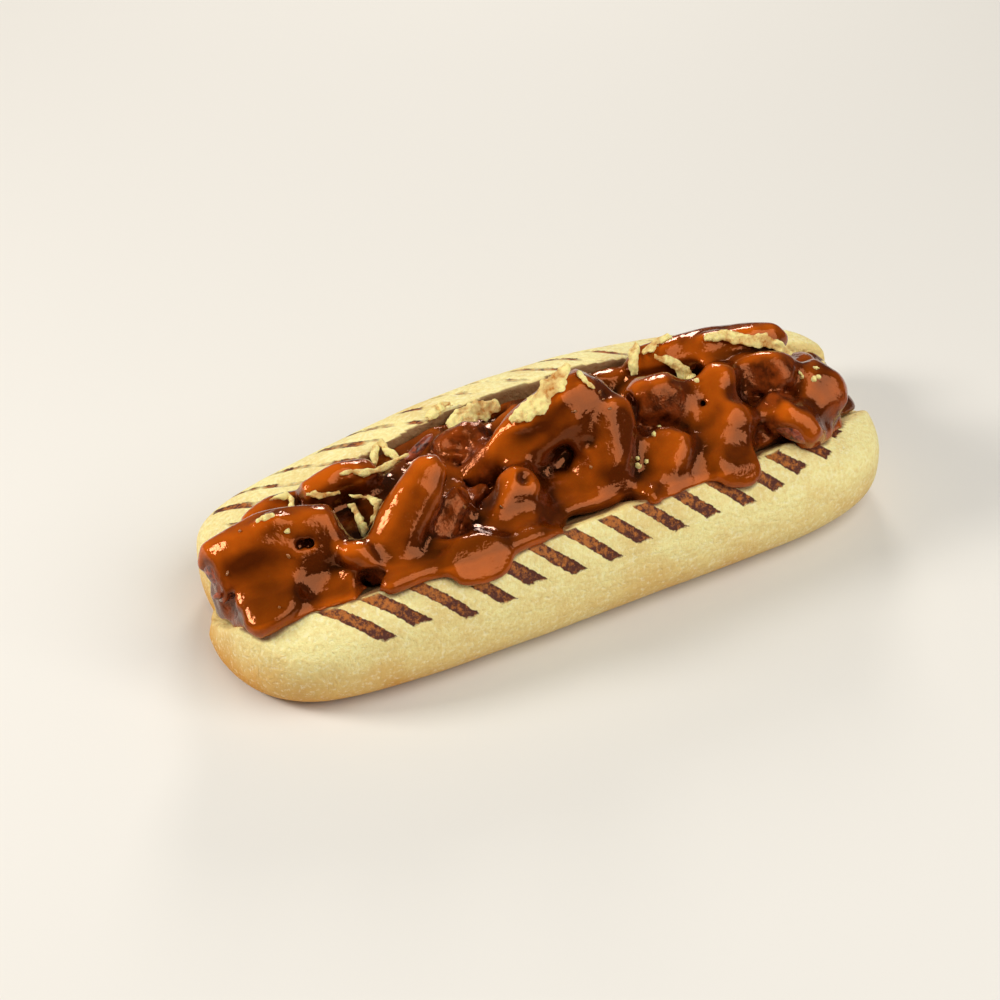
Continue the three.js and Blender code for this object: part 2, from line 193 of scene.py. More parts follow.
def ease(value, start, end):
    """0 up to start and 1 from end, with a smooth rise between them."""
    t = np.clip((value - start) / (end - start), 0, 1)
    return t * t * (3 - 2 * t)


print("two surfaces that touch melt by", round(-melt(0.0, 0.0, 2.0), 2), "mm over a reach of 2 mm")

# %% [markdown]
# A finished block is turned into quads on its zero level. Stray drops are dropped, the faces are
# turned outwards, and the mesh is registered with its body and the construction nodes that it
# stands for. A small ball shows how many quads a block makes.

# %% From a block back to a mesh
def sample(block, values, points):
    """The block's values at any points inside it."""
    at = (points - block.low) / block.cell
    base = np.clip(np.floor(at).astype(int), 0, block.count - 2)
    t = np.clip(at - base, 0, 1)
    total = np.zeros(len(points))
    for corner in np.ndindex(2, 2, 2):
        weight = np.prod(np.where(corner, t, 1 - t), axis=1)
        total += weight * values[tuple((base + corner).T)]
    return total


def largest_part(points, quads):
    """Drops loose islands, which are stray drops that the surface left in the air."""
    part = np.arange(len(points))
    while True:
        lowest = part[quads].min(axis=1)
        joined = part.copy()
        np.minimum.at(joined, quads.ravel(), np.repeat(lowest, 4))
        joined = joined[joined]
        if (joined == part).all():
            break
        part = joined
    names, sizes = np.unique(part, return_counts=True)
    kept = part == names[sizes.argmax()]
    number = np.cumsum(kept) - 1
    return points[kept], number[quads[kept[quads[:, 0]]]]


def surface(block, values):
    """The skin of a shape as points in millimetres and quads that face outwards."""
    grid = vdb.FloatGrid(float(values.max()))
    grid.copyFromArray(np.ascontiguousarray(values, np.float32))
    points, quads = grid.convertToQuads(0.0)
    points, quads = largest_part(block.low + block.cell * points.astype(float), quads.astype(int))
    a, b, c, d = (points[quads[:, k]] for k in range(4))
    volume = (np.cross(b - a, c - a) * a).sum() + (np.cross(c - a, d - a) * a).sum()
    return points, quads if volume > 0 else quads[:, ::-1]


def piece(name, points, faces, food, replaced, slot, **facts):
    """A mesh object from millimetres, kept inside the CAD box, with a number at each point for
    every extra fact, and with its material, its body and the CAD nodes that it stands for."""
    mesh = bpy.data.meshes.new(name)
    inside = np.clip(points, box_low, box_high)
    mesh.from_pydata((inside * MM).tolist(), [], faces.tolist())
    mesh.shade_smooth()
    for fact, values in facts.items():
        layer = mesh.attributes.new(fact, "FLOAT", "POINT")
        layer.data.foreach_set("value", np.asarray(values, np.float32))
    mesh.materials.append(food)
    made = bpy.data.objects.new(name, mesh)
    bpy.context.scene.collection.objects.link(made)
    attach(made, "root")
    if replaced:
        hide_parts(*replaced)
    print(f"{name}: {sum(len(p.vertices) - 2 for p in mesh.polygons)} triangles")
    return made


probe = Block([-6, -6, -6], [6, 6, 6], 0.5)
side_x, side_y, side_z = probe.axes()
probe_quads = surface(probe, np.sqrt(side_x**2 + side_y**2 + side_z**2) - 5)[1]
print("a ball of 5 mm radius in cubes of 0.5 mm comes back as", len(probe_quads), "quads")

# %% [markdown]
# ## Colours and shader nodes
#
# Every material below is built from nodes, so one small function adds a node, sets it and joins
# it up. Colours are written as sRGB hex, as a colour picker shows them, and turned to the linear
# values that shaders expect.

# %% Colour and node helpers
def colour(hexa):
    """A hex sRGB colour as linear red, green, blue and alpha."""
    parts = [int(hexa[i : i + 2], 16) / 255 for i in (1, 3, 5)]
    return (*[c / 12.92 if c <= 0.04045 else ((c + 0.055) / 1.055) ** 2.4 for c in parts], 1.0)


def add(tree, kind, inputs, **settings):
    """Adds a node with its settings. Each input is a value, or the output it is linked from."""
    made = tree.nodes.new(kind)
    for name, value in settings.items():
        setattr(made, name, value)
    for key, value in inputs.items():
        if isinstance(value, bpy.types.NodeSocket):
            tree.links.new(value, made.inputs[key])
        else:
            made.inputs[key].default_value = value
    return made


def new_material(name, **values):
    """A material with its own shader. The values are constant over the whole surface."""
    made = bpy.data.materials.new(name)
    made.use_nodes = True
    shader = made.node_tree.nodes["Principled BSDF"]
    for key, value in values.items():
        shader.inputs[key.replace("_", " ")].default_value = value
    return made, made.node_tree, shader


MIX_A, MIX_B, MIX_RESULT = 6, 7, 2  # the colour sockets of a Mix node
MIX_VECTOR_A, MIX_VECTOR_B, MIX_VECTOR_RESULT = 4, 5, 1  # and its vector sockets
# Inputs 1 to 4 of a Map Range node are the range that it reads and the range that it gives.
per_mm = 1000  # a texture's scale of 1 is one lump per metre
print("a straw colour for a shader is", np.round(colour("#e5cf8c")[:3], 3))

# %% [markdown]
# ## The roll's shape
#
# A soft roll is a rounded bar of dough with blunt ends, flattened underneath where it lay on the
# tray. Its top was pressed flat by the grill. It is cut from the top almost to the bottom, so the
# two halves hang together by a hinge and the front half leans outwards.
#
# The CAD solid is built from rings of points with few facets. A copy of it would show them on the
# long plain crust, so the same rings are made again here with many more points, and the same
# wedge is cut out. The rings' sizes are the construction's own driving sizes.

# %% Sizes of the roll
FRONT = {"left": -108, "right": 103, "half_width": 52.5, "crown": 47, "power": 0.73}
BACK = {"left": -101, "right": 109, "half_width": 34.5, "crown": 42.5, "power": 0.66}
WIDEST_AT = 14.7
UNDERSIDE_DEPTH = 21
END_BLUNTNESS, END_ROUNDNESS = 5.3, 4.35
END_DROP, END_DROP_FROM = 14, 0.1
CROWN_POWER, UNDERSIDE_POWER = 0.75, 0.6
HALVES_BLEND = 0.4
CUT_FLOOR, CUT_FLOOR_HALF_WIDTH = 9, 4
FRONT_LEAN, BACK_LEAN = 1.52, 0.26
TIP, TIP_POWER = 0.9995, 0.9

print("the front half is", FRONT["right"] - FRONT["left"], "mm long, the back half", end=" ")
print(BACK["right"] - BACK["left"], "mm")

# %% The crust's rings
def signed_power(value, power):
    return np.sign(value) * np.abs(value) ** power


def crust_rings(stations, around):
    """The whole crust, as points by station along the roll and by angle round it."""
    swing = np.pi * (np.arange(stations + 1) / stations - 0.5)
    t = (TIP * signed_power(np.sin(swing), TIP_POWER))[:, None]
    angle = (2 * np.pi * np.arange(around) / around)[None, :]
    full = (1 - np.abs(t) ** END_BLUNTNESS) ** (1 / END_ROUNDNESS)
    back = ease(np.cos(angle), -HALVES_BLEND, HALVES_BLEND)
    side = {key: FRONT[key] + (BACK[key] - FRONT[key]) * back for key in FRONT}
    x = side["left"] + (side["right"] - side["left"]) * (1 + t) / 2
    y = side["half_width"] * full * signed_power(np.cos(angle), side["power"])
    lift = signed_power(np.sin(angle), side["power"])
    crown = side["crown"] - END_DROP * ease(np.abs(t), END_DROP_FROM, 1)
    above = (crown - WIDEST_AT) * full**CROWN_POWER
    below = UNDERSIDE_DEPTH * full**UNDERSIDE_POWER
    z = np.maximum(0, WIDEST_AT + lift * np.where(lift > 0, above, below))
    return np.stack([x, y, z], axis=2)


def rings_mesh(rings):
    """Closes rings into a mesh of triangles, with a fan at each end."""
    stations, around = rings.shape[:2]
    i, j = np.meshgrid(np.arange(stations - 1), np.arange(around), indexing="ij")
    a, b = (i * around + j).ravel(), (i * around + (j + 1) % around).ravel()
    lower, upper = np.stack([a, b, a + around], 1), np.stack([b, b + around, a + around], 1)
    sides = np.concatenate([lower, upper])
    k = np.arange(around)
    first, last, tail = stations * around, stations * around + 1, (stations - 1) * around
    next_k = (k + 1) % around
    fans = np.concatenate([
        np.stack([0 * k + first, next_k, k], 1),
        np.stack([0 * k + last, tail + k, tail + next_k], 1),
    ])
    middles = [rings[0].mean(0), rings[-1].mean(0)]
    return np.concatenate([rings.reshape(-1, 3), middles]), np.concatenate([sides, fans])


crust_points, crust_triangles = rings_mesh(crust_rings(220, 200))
roll_low, roll_high = (np.array(corner) * 1000 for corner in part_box("bread_roll"))
hinge = np.array([
    roll_low[0] - crust_points[:, 0].min(), roll_high[1] - crust_points[:, 1].max(), 0
])
crust_points = crust_points + hinge
print("the hinge is", np.round(hinge, 2), "mm from the middle of the sandwich")

# %% The roll as a block: crust, minus the cut, with a soft torn edge
def cut_depth(block_or_points):
    """How far each place is outside the wedge that the knife opened, negative inside it."""
    x, y, z = block_or_points
    rise = np.maximum(z - CUT_FLOOR, 0)
    front = -(CUT_FLOOR_HALF_WIDTH + FRONT_LEAN * rise) - (y - hinge[1])
    back = (y - hinge[1]) - (CUT_FLOOR_HALF_WIDTH + BACK_LEAN * rise)
    faces = np.maximum(front / math.hypot(1, FRONT_LEAN), back / math.hypot(1, BACK_LEAN))
    return np.maximum(faces, CUT_FLOOR - z) + 0 * x


EDGE_ROUND = 2.2  # the crust's edge at the cut is bent over, not sharp
ROLL_REACH = 7  # distances further than this from the crust aren't needed
ROLL_CUBE = 1.0  # the roll's real detail is coarser, and its material holds the rest


def roll_block(block):
    """The roll as a solid shape, and the two shapes that it is cut from."""
    crust = distance(block, crust_points, crust_triangles, ROLL_REACH)
    dents = 0.28 * (1 + ripples(block, 24, 11)) + 0.14 * (1 + ripples(block, 9, 12))
    crust = crust + np.clip(dents, 0, 1.2)
    tear = 0.55 * ripples(block, 15, 13) + 0.4 * ripples(block, 4.5, 14)
    tear = tear + 0.2 * ripples(block, 2.5, 15)
    knife = np.clip(cut_depth(block.axes()), -ROLL_REACH, ROLL_REACH) + tear
    return overlap(crust, -knife, EDGE_ROUND), crust, knife


roll_space = Block([-111, -45, -2], [112, 47, 50], ROLL_CUBE)
roll, crust, knife = roll_block(roll_space)
roll_points, roll_quads = surface(roll_space, roll)
print("the roll's skin has", len(roll_quads), "quads")

# %% Where the crust ends at the cut, along each half
QUARTER_RING = 180  # points in a quarter of a ring, half a degree apart


def lip_line(side):
    """The line where the crust meets the cut's front (-1) or back (1) face, sorted along X."""
    rings = crust_rings(160, 4 * QUARTER_RING) + hinge
    front, back = slice(2 * QUARTER_RING, QUARTER_RING - 1, -1), slice(0, QUARTER_RING + 1)
    climb = rings[:, front if side < 0 else back]
    inside = cut_depth(np.moveaxis(climb, 2, 0)) < 0
    met = inside.any(axis=1)
    line = climb[met, inside.argmax(axis=1)[met]]
    return line[line[:, 0].argsort()]


def below_lip(points, line):
    """How far down the crust each point is from the lip, in millimetres."""
    y, z = (np.interp(points[:, 0], line[:, 0], line[:, k]) for k in (1, 2))
    return np.hypot(points[:, 1] - y, points[:, 2] - z)


lips = {side: lip_line(side) for side in (-1, 1)}
print("the front lip runs from X", np.round(lips[-1][[0, -1], 0]), "mm")

# %% [markdown]
# ## Grill stripes
#
# The ribs of a hot grill plate char the top of the roll in parallel stripes, before it is cut.
# They run across the roll at a slant, and each stops where the crust curves down away from the
# plate, so all of them end about the same way down from the cut. When the roll is opened the front
# half turns outwards and carries its ends of the stripes with it.
#
# A stripe could be painted, or cut in as its own mesh. Here each point of the crust gets two
# numbers instead: how far down from the lip it is, and how many stripes along. The material
# turns those into stripes with ragged, mottled edges, and the same numbers press the stripes a
# little into the mesh, as the plate does.

# %% Stripe coordinates on the crust
STRIPE_PITCH = 11.8  # along X
STRIPE_SLANT = 1.0  # how far a stripe moves along X for each millimetre down the crust
STRIPES = 15  # on the front half
BACK_STRIPE_SHARE = 0.26
STRIPE_SHARE = 0.44  # the charred part of each pitch
STRIPE_FIRST = -85.6  # the middle of the first stripe, at the lip
STRIPE_PRESS = 0.35  # how deep the plate pressed them

front_half = roll_points[:, 1] < hinge[1]
down = np.where(front_half, below_lip(roll_points, lips[-1]), below_lip(roll_points, lips[1]))
slant = np.where(front_half, -STRIPE_SLANT, STRIPE_SLANT)
along = (roll_points[:, 0] + slant * down - STRIPE_FIRST) / STRIPE_PITCH + 0.5
crumb = ease(sample(roll_space, -knife - crust, roll_points), -0.9, 0.5)


def stripe_end(x, front):
    """How far down the crust the stripes reach. They are shorter where the roll turns down."""
    front_ends = 13.4 - 2.7 * ease(x, -20, 15) - 3 * ease(x, 55, 72) - 6 * ease(x, 70, 86)
    front_ends = np.where((along > 0) & (along < STRIPES), front_ends, -2)
    back_ends = 19 * (1 - ease(np.abs(x), 88, 104))
    return np.where(front, front_ends, back_ends)


reach_down = stripe_end(roll_points[:, 0], front_half)
offset = np.abs(along - np.floor(along) - 0.5)
stripe_half = np.where(front_half, STRIPE_SHARE, BACK_STRIPE_SHARE) / 2
pressed = (1 - crumb) * (1 - ease(offset, stripe_half - 0.06, stripe_half + 0.04))
pressed = pressed * (1 - ease(down, reach_down - 1, reach_down + 0.5)) * (roll_points[:, 2] > 12)
roll_inward = np.stack(np.gradient(blur(roll_space, crust, 2), roll_space.cell), axis=0)
inward = -np.stack([sample(roll_space, roll_inward[k], roll_points) for k in range(3)], axis=1)
roll_points = roll_points + STRIPE_PRESS * pressed[:, None] * inward
print("stripes press", round(float((pressed > 0.5).mean() * 100), 1), "% of the skin")

# %% [markdown]
# ## Bread: baked wheat crust and crumb
#
# The crust of a soft roll is thin, matt and pale, the colour of straw, with golden patches where
# the oven reached it best and a browner foot. Seen close it is finely freckled and slightly
# wrinkled. Under it the crumb is cream, open and soft. Bread scatters light, so a little
# subsurface scattering keeps its shadows warm. IOR 1.45 and roughness 0.62 suit dry starch.

# %% The bread material
# Baked wheat crust: dry starch, matt with a faint sheen, and light scatters a little inside it.
bread, tree, shader = new_material(
    "baked_wheat_bread", Roughness=0.62, IOR=1.45, Subsurface_Weight=0.12, Subsurface_Scale=0.002
)
place = add(tree, "ShaderNodeTexCoord", {}).outputs["Object"]
height = add(tree, "ShaderNodeSeparateXYZ", {0: place})
patches = add(tree, "ShaderNodeTexNoise", {"Vector": place, "Scale": per_mm / 17, "Detail": 3.0})
freckles = add(
    tree, "ShaderNodeTexNoise",
    {"Vector": place, "Scale": per_mm / 1.2, "Detail": 3.0, "Roughness": 0.65}
)
# The foot of the roll is the most golden part. The gold fades out 22 mm up.
foot = add(
    tree, "ShaderNodeMapRange",
    {"Value": height.outputs["Z"], 1: 0.022, 2: 0.001, 3: 0.0, 4: 0.55}
)
left = add(
    tree, "ShaderNodeMapRange",
    {"Value": height.outputs["X"], 1: -0.030, 2: -0.095, 3: 1.0, 4: 1.95}
)
gold_patch = add(
    tree, "ShaderNodeMapRange",
    {"Value": patches.outputs["Fac"], 1: 0.44, 2: 0.74, 3: 0.0, 4: 0.4}
)
foot_left = add(
    tree, "ShaderNodeMath", {0: foot.outputs[0], 1: left.outputs[0]}, operation="MULTIPLY"
)
gold = add(
    tree, "ShaderNodeMath", {0: foot_left.outputs[0], 1: gold_patch.outputs[0]},
    operation="ADD", use_clamp=True,
)
skin = add(
    tree, "ShaderNodeMix",
    {"Factor": gold.outputs[0], MIX_A: colour("#faeea8"), MIX_B: colour("#d08c14")},
    data_type="RGBA",
)
freckle_share = add(
    tree, "ShaderNodeMapRange",
    {"Value": freckles.outputs["Fac"], 1: 0.42, 2: 0.72, 3: 0.0, 4: 0.4}
)
freckled = add(
    tree, "ShaderNodeMix",
    {
        "Factor": freckle_share.outputs[0], MIX_A: skin.outputs[MIX_RESULT],
        MIX_B: colour("#dcb056"),
    },
    data_type="RGBA",
)
pale_share = add(
    tree, "ShaderNodeMapRange", {"Value": freckles.outputs["Fac"], 1: 0.46, 2: 0.30, 3: 0.0, 4: 0.6}
)
flecked = add(
    tree, "ShaderNodeMix",
    {
        "Factor": pale_share.outputs[0], MIX_A: freckled.outputs[MIX_RESULT],
        MIX_B: colour("#fff3cd"),
    },
    data_type="RGBA",
)

print("the plain crust takes", len(tree.nodes), "nodes")

# %% [markdown]
# Char follows the numbers that were stored on the crust. Across a stripe the distance from its
# middle is compared with half its width, and along it the distance from the lip is compared with
# where it ends. Noise about 1.6 mm across makes both edges ragged, and luck per stripe makes some
# wider or longer. The char itself is darkest at the rim and at the lower end, where the rib
# pressed hardest.

# %% Stripes in the bread material
along_node = add(tree, "ShaderNodeAttribute", {}, attribute_name="stripe_along").outputs["Fac"]
down_node = add(tree, "ShaderNodeAttribute", {}, attribute_name="below_lip").outputs["Fac"]
end_node = add(tree, "ShaderNodeAttribute", {}, attribute_name="stripe_end").outputs["Fac"]
crumb_node = add(tree, "ShaderNodeAttribute", {}, attribute_name="crumb").outputs["Fac"]
number = add(tree, "ShaderNodeMath", {0: along_node}, operation="FLOOR")
chance = add(tree, "ShaderNodeTexWhiteNoise", {"W": number.outputs[0]}, noise_dimensions="1D")
ragged = add(
    tree, "ShaderNodeTexNoise",
    {"Vector": place, "Scale": per_mm / 1.6, "Detail": 3.0, "Roughness": 0.6}
)
part = add(tree, "ShaderNodeMath", {0: along_node}, operation="FRACT")
centred = add(tree, "ShaderNodeMath", {0: part.outputs[0], 1: 0.5}, operation="SUBTRACT")
from_middle = add(tree, "ShaderNodeMath", {0: centred.outputs[0]}, operation="ABSOLUTE")
rough_edge = add(
    tree, "ShaderNodeMapRange",
    {"Value": ragged.outputs["Fac"], 1: 0.3, 2: 0.7, 3: -0.03, 4: 0.03}
)
width_luck = add(
    tree, "ShaderNodeMapRange", {"Value": chance.outputs["Value"], 3: -0.03, 4: 0.03}
)
shifted = add(
    tree, "ShaderNodeMath", {0: from_middle.outputs[0], 1: rough_edge.outputs[0]}, operation="ADD"
)
widened = add(
    tree, "ShaderNodeMath", {0: shifted.outputs[0], 1: width_luck.outputs[0]}, operation="ADD"
)
half_node = add(tree, "ShaderNodeAttribute", {}, attribute_name="stripe_half").outputs["Fac"]
outside = add(tree, "ShaderNodeMath", {0: widened.outputs[0], 1: half_node}, operation="SUBTRACT")
across = add(
    tree, "ShaderNodeMapRange", {"Value": outside.outputs[0], 1: 0.012, 2: -0.012, 3: 0.0, 4: 1.0}
)
end_luck = add(tree, "ShaderNodeMapRange", {"Value": chance.outputs["Value"], 3: 1.6, 4: -1.6})
rough_end = add(
    tree, "ShaderNodeMapRange",
    {"Value": ragged.outputs["Fac"], 1: 0.3, 2: 0.7, 3: -0.45, 4: 0.45}
)
past_1 = add(tree, "ShaderNodeMath", {0: down_node, 1: end_node}, operation="SUBTRACT")
past_2 = add(
    tree, "ShaderNodeMath", {0: past_1.outputs[0], 1: end_luck.outputs[0]}, operation="ADD"
)
past = add(
    tree, "ShaderNodeMath", {0: past_2.outputs[0], 1: rough_end.outputs[0]}, operation="ADD"
)
before_end = add(
    tree, "ShaderNodeMapRange", {"Value": past.outputs[0], 1: 0.3, 2: -0.3, 3: 0.0, 4: 1.0}
)
on_crust = add(tree, "ShaderNodeMapRange", {"Value": crumb_node, 1: 0.6, 2: 0.2, 3: 0.0, 4: 1.0})
stripe_1 = add(
    tree, "ShaderNodeMath", {0: across.outputs[0], 1: before_end.outputs[0]}, operation="MULTIPLY"
)
stripe_2 = add(
    tree, "ShaderNodeMath", {0: stripe_1.outputs[0], 1: on_crust.outputs[0]}, operation="MULTIPLY"
)
# The back half met the grill unevenly, so its stripes come and go along their length.
uneven = add(tree, "ShaderNodeTexNoise", {"Vector": place, "Scale": per_mm / 9, "Detail": 2.0})
contact = add(
    tree, "ShaderNodeMapRange", {"Value": uneven.outputs["Fac"], 1: 0.44, 2: 0.56, 3: 0.0, 4: 1.0}
)
front_node = add(tree, "ShaderNodeAttribute", {}, attribute_name="front_half").outputs["Fac"]
met = add(tree, "ShaderNodeMath", {0: contact.outputs[0], 1: front_node}, operation="MAXIMUM")
stripe = add(
    tree, "ShaderNodeMath", {0: stripe_2.outputs[0], 1: met.outputs[0]}, operation="MULTIPLY"
)
# Char gathers in flecks about a millimetre across, over a toasted brown.
char_flecks = add(
    tree, "ShaderNodeTexNoise",
    {"Vector": place, "Scale": per_mm / 1.5, "Detail": 4.0, "Roughness": 0.7}
)
rim_char = add(
    tree, "ShaderNodeMapRange", {"Value": outside.outputs[0], 1: -0.12, 2: -0.01, 3: 0.0, 4: 0.10}
)
end_char = add(
    tree, "ShaderNodeMapRange", {"Value": past.outputs[0], 1: -7.0, 2: -0.5, 3: -0.05, 4: 0.07}
)
char_1 = add(
    tree, "ShaderNodeMath",
    {0: char_flecks.outputs["Fac"], 1: rim_char.outputs[0]},
    operation="ADD"
)
char_2 = add(
    tree, "ShaderNodeMath", {0: char_1.outputs[0], 1: end_char.outputs[0]}, operation="ADD"
)
char_share = add(
    tree, "ShaderNodeMapRange", {"Value": char_2.outputs[0], 1: 0.40, 2: 0.57, 3: 0.0, 4: 1.0}
)
charred = add(
    tree, "ShaderNodeMix",
    {"Factor": char_share.outputs[0], MIX_A: colour("#b96a22"), MIX_B: colour("#541f08")},
    data_type="RGBA",
)
striped = add(
    tree, "ShaderNodeMix",
    {
        "Factor": stripe.outputs[0], MIX_A: flecked.outputs[MIX_RESULT],
        MIX_B: charred.outputs[MIX_RESULT],
    },
    data_type="RGBA",
)

print("with its stripes it takes", len(tree.nodes), "nodes")

# %% [markdown]
# The cut faces show crumb: cream, with holes a couple of millimetres across. Where sauce touches
# the bread it soaks in and stains it brown. Near the sauce the cut faces are painted that brown
# further out, which is painted shade in the gap along the lip. The crust has fine wrinkles that run
# along the roll.
# Holes and wrinkles could be carved, but they are shallower than half a millimetre, so bump
# nodes do it without a dense mesh.

# %% Crumb, bump and the roll itself
holes = add(
    tree, "ShaderNodeTexVoronoi", {"Vector": place, "Scale": per_mm / 2.2}, feature="SMOOTH_F1"
)
# Painted shade: the crumb is painted darker inside each hole.
hole_shade = add(
    tree, "ShaderNodeMapRange",
    {"Value": holes.outputs["Distance"], 1: 0.35, 2: 0.05, 3: 0.0, 4: 0.6}
)
cream = add(
    tree, "ShaderNodeMix",
    {"Factor": hole_shade.outputs[0], MIX_A: colour("#f4d88c"), MIX_B: colour("#c48c3a")},
    data_type="RGBA",
)
whole_roll = add(
    tree, "ShaderNodeMix",
    {"Factor": crumb_node, MIX_A: striped.outputs[MIX_RESULT], MIX_B: cream.outputs[MIX_RESULT]},
    data_type="RGBA",
)
# Stain and painted shade: on the crust this brown is the stain under the sauce. On the cut faces it
# reaches further and paints the shade in the gap along the lip.
stain_and_shade_node = add(tree, "ShaderNodeAttribute", {}, attribute_name="sauce_stain_and_shade").outputs["Fac"]
stain_and_shade_share = add(
    tree, "ShaderNodeMapRange", {"Value": stain_and_shade_node, 1: 0.2, 2: 0.9, 3: 0.0, 4: 0.85}
)
stained_and_shaded_roll = add(
    tree, "ShaderNodeMix",
    {
        "Factor": stain_and_shade_share.outputs[0], MIX_A: whole_roll.outputs[MIX_RESULT],
        MIX_B: colour("#6b2f0c"),
    },
    data_type="RGBA",
)
stretch = add(tree, "ShaderNodeMapping", {"Vector": place, "Scale": (0.3, 1.0, 1.0)})
wrinkles = add(
    tree, "ShaderNodeTexNoise",
    {"Vector": stretch.outputs[0], "Scale": per_mm / 3.5, "Detail": 4.0}
)
wrinkle_bump = add(
    tree, "ShaderNodeBump",
    {"Height": wrinkles.outputs["Fac"], "Strength": 0.85, "Distance": 0.0009}
)
freckle_bump = add(
    tree, "ShaderNodeBump",
    {
        "Height": freckles.outputs["Fac"], "Normal": wrinkle_bump.outputs[0], "Strength": 1.0,
        "Distance": 0.0007,
    },
)
hole_bump = add(
    tree, "ShaderNodeBump",
    {
        "Height": holes.outputs["Distance"], "Normal": freckle_bump.outputs[0], "Strength": 0.5,
        "Distance": 0.0009,
    },
)
bump_choice = add(
    tree, "ShaderNodeMix",
    {
        "Factor": crumb_node, MIX_VECTOR_A: freckle_bump.outputs[0],
        MIX_VECTOR_B: hole_bump.outputs[0],
    },
    data_type="VECTOR",
)
tree.links.new(stained_and_shaded_roll.outputs[MIX_RESULT], shader.inputs["Base Color"])
tree.links.new(bump_choice.outputs[MIX_VECTOR_RESULT], shader.inputs["Normal"])
shader.inputs["Subsurface Radius"].default_value = (1.0, 0.6, 0.3)

roll_object = piece(
    "grilled_roll", roll_points, roll_quads, bread, ["bread_roll"], "bread",
    stripe_along=along, below_lip=down, stripe_end=reach_down, stripe_half=stripe_half,
    front_half=front_half, crumb=crumb,
)

# %% [markdown]
# ## Chicken under a coat of sauce
#
# The thigh meat is grilled in pieces and turned in the sauce, so each piece wears a coat about a
# millimetre thick. It pulls into the creases between pieces, runs over the front lip and leaves a
# few charred tips bare. Two things are made: the pieces of chicken, each from its own CAD node,
# and one coat over them all.
#
# At a bare spot the coat is drawn back and the meat stands at its full size. Everywhere else
# the coat is on the outside and the meat is that much smaller.

# %% Bare spots and hollows, each given in a node's own box
BARE = [  # node, place in its box from 0 to 1, and radius
    ("chicken_stick", (0.50, 0.50, 0.50), 9.0),
]
# Painted shade: the spots on the shoulder and on the middle piece behind give those pieces, which
# lie in shade, the darker colour of glazed meat. The other spots are real char and meat under a
# thin glaze.
GLAZED_AND_SHADED_SPOTS = [
    ("chicken_diagonal", (0.02, 0.28, 0.16), 4.5),
    ("chicken_diagonal", (0.03, 0.30, 0.32), 4.5),
    ("chicken_diagonal", (0.10, 0.20, 0.10), 3.4),
    ("chicken_diagonal", (0.20, 0.13, 0.12), 3.0),
    ("chicken_diagonal", (0.30, 0.10, 0.18), 2.6),
    ("chicken_end_bit", (0.45, 0.40, 0.45), 7.0),
    ("chicken_upright", (0.08, 0.08, 0.10), 6.5),
    ("chicken_ball", (0.35, 0.12, 0.60), 8.0),
    ("chicken_crest_front", (0.45, 0.10, 0.60), 8.0),
    ("chicken_corner", (0.10, 0.40, 0.45), 4.5),
    ("chicken_end_right", (0.60, 0.10, 0.50), 5.0),
    ("chicken_mid_right", (0.10, 0.20, 0.30), 5.0),
    ("chicken_slab_left", (0.02, 0.30, 0.35), 5.0),
    ("chicken_shoulder", (0.50, 0.30, 0.70), 7.0),
    ("chicken_behind_mid", (0.40, 0.30, 0.70), 9.0),
]
UNCUT = [
    ("chicken_diagonal", (0.08, 0.30, 0.20), 9.0),
]
HOLLOWS = [
    ("chicken_slab_left", (0.62, 0.26, 0.70), 1.2),
    ("chicken_slab_left", (0.68, 0.24, 0.68), 0.9),
    ("chicken_hollow", (0.19, 0.42, 0.68), 1.7),
    ("chicken_low_front", (0.70, 0.50, 0.95), 2.6),
    ("chicken_hollow", (1.00, 0.95, 0.60), 5.0),
    ("chicken_ball", (0.25, 1.25, 0.35), 8.5),
    ("chicken_shoulder", (0.95, 0.45, 0.98), 5.5),
    ("chicken_behind_mid", (0.50, 0.05, 1.15), 5.5),
    ("chicken_diagonal", (0.06, 0.98, 0.42), 4.2),
    ("chicken_diagonal", (0.26, 1.00, 0.56), 4.0),
]

print(len(GLAZED_AND_SHADED_SPOTS), "glazed spots,", len(HOLLOWS), "hollows and", len(BARE), "bare piece")


def place_in(name, share):
    """A place given as shares of a node's box, in millimetres."""
    low, high = (np.array(corner) * 1000 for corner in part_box(name))
    return low + (high - low) * np.array(share)


def ball(block, centre, radius):
    """How far each cube is from a ball."""
    x, y, z = block.axes()
    return np.sqrt((x - centre[0]) ** 2 + (y - centre[1]) ** 2 + (z - centre[2]) ** 2) - radius


def hollows(block):
    """How far each cube is from the pits in the filling."""
    pits = np.full(block.count, 9, np.float32)
    ragged = 1.4 * ripples(block, 3.5, 25)
    for name, share, radius in HOLLOWS:
        pits = np.minimum(pits, ball(block, place_in(name, share), radius) + ragged)
    return pits


def patchiness(block, spots, softness):
    """1 in the given spots, falling to 0 over twice the softness."""
    most = np.zeros(block.count, np.float32)
    ragged = 1.6 * ripples(block, 4, 21)
    for name, share, radius in spots:
        near = ball(block, place_in(name, share), radius) + ragged
        most = np.maximum(most, 1 - ease(near, -softness, softness))
    return most


def sub_block(block, low, high):
    """The part of a block between two corners, as a block of its own and as slices of the first."""
    start = np.clip(np.floor((low - block.low) / block.cell).astype(int), 0, block.count - 1)
    stop = np.clip(np.ceil((high - block.low) / block.cell).astype(int), start + 1, block.count - 1)
    part = Block(block.low + start * block.cell, block.low + stop * block.cell, block.cell)
    part.count = stop - start + 1
    return part, tuple(slice(a, b + 1) for a, b in zip(start, stop))


FACETS = 7  # flat faces that the knife left on a piece
FACET_DEPTH = (0.02, 0.11)  # how much each of them takes off, as a share of its thickness
FACET_ROUND = 1.0  # how softly two of them meet
FACET_SWAY = 1.0  # how far each is from truly flat
SMALL_PIECE = 12.0  # a thinner piece than this is cut more gently and wears a thinner coat


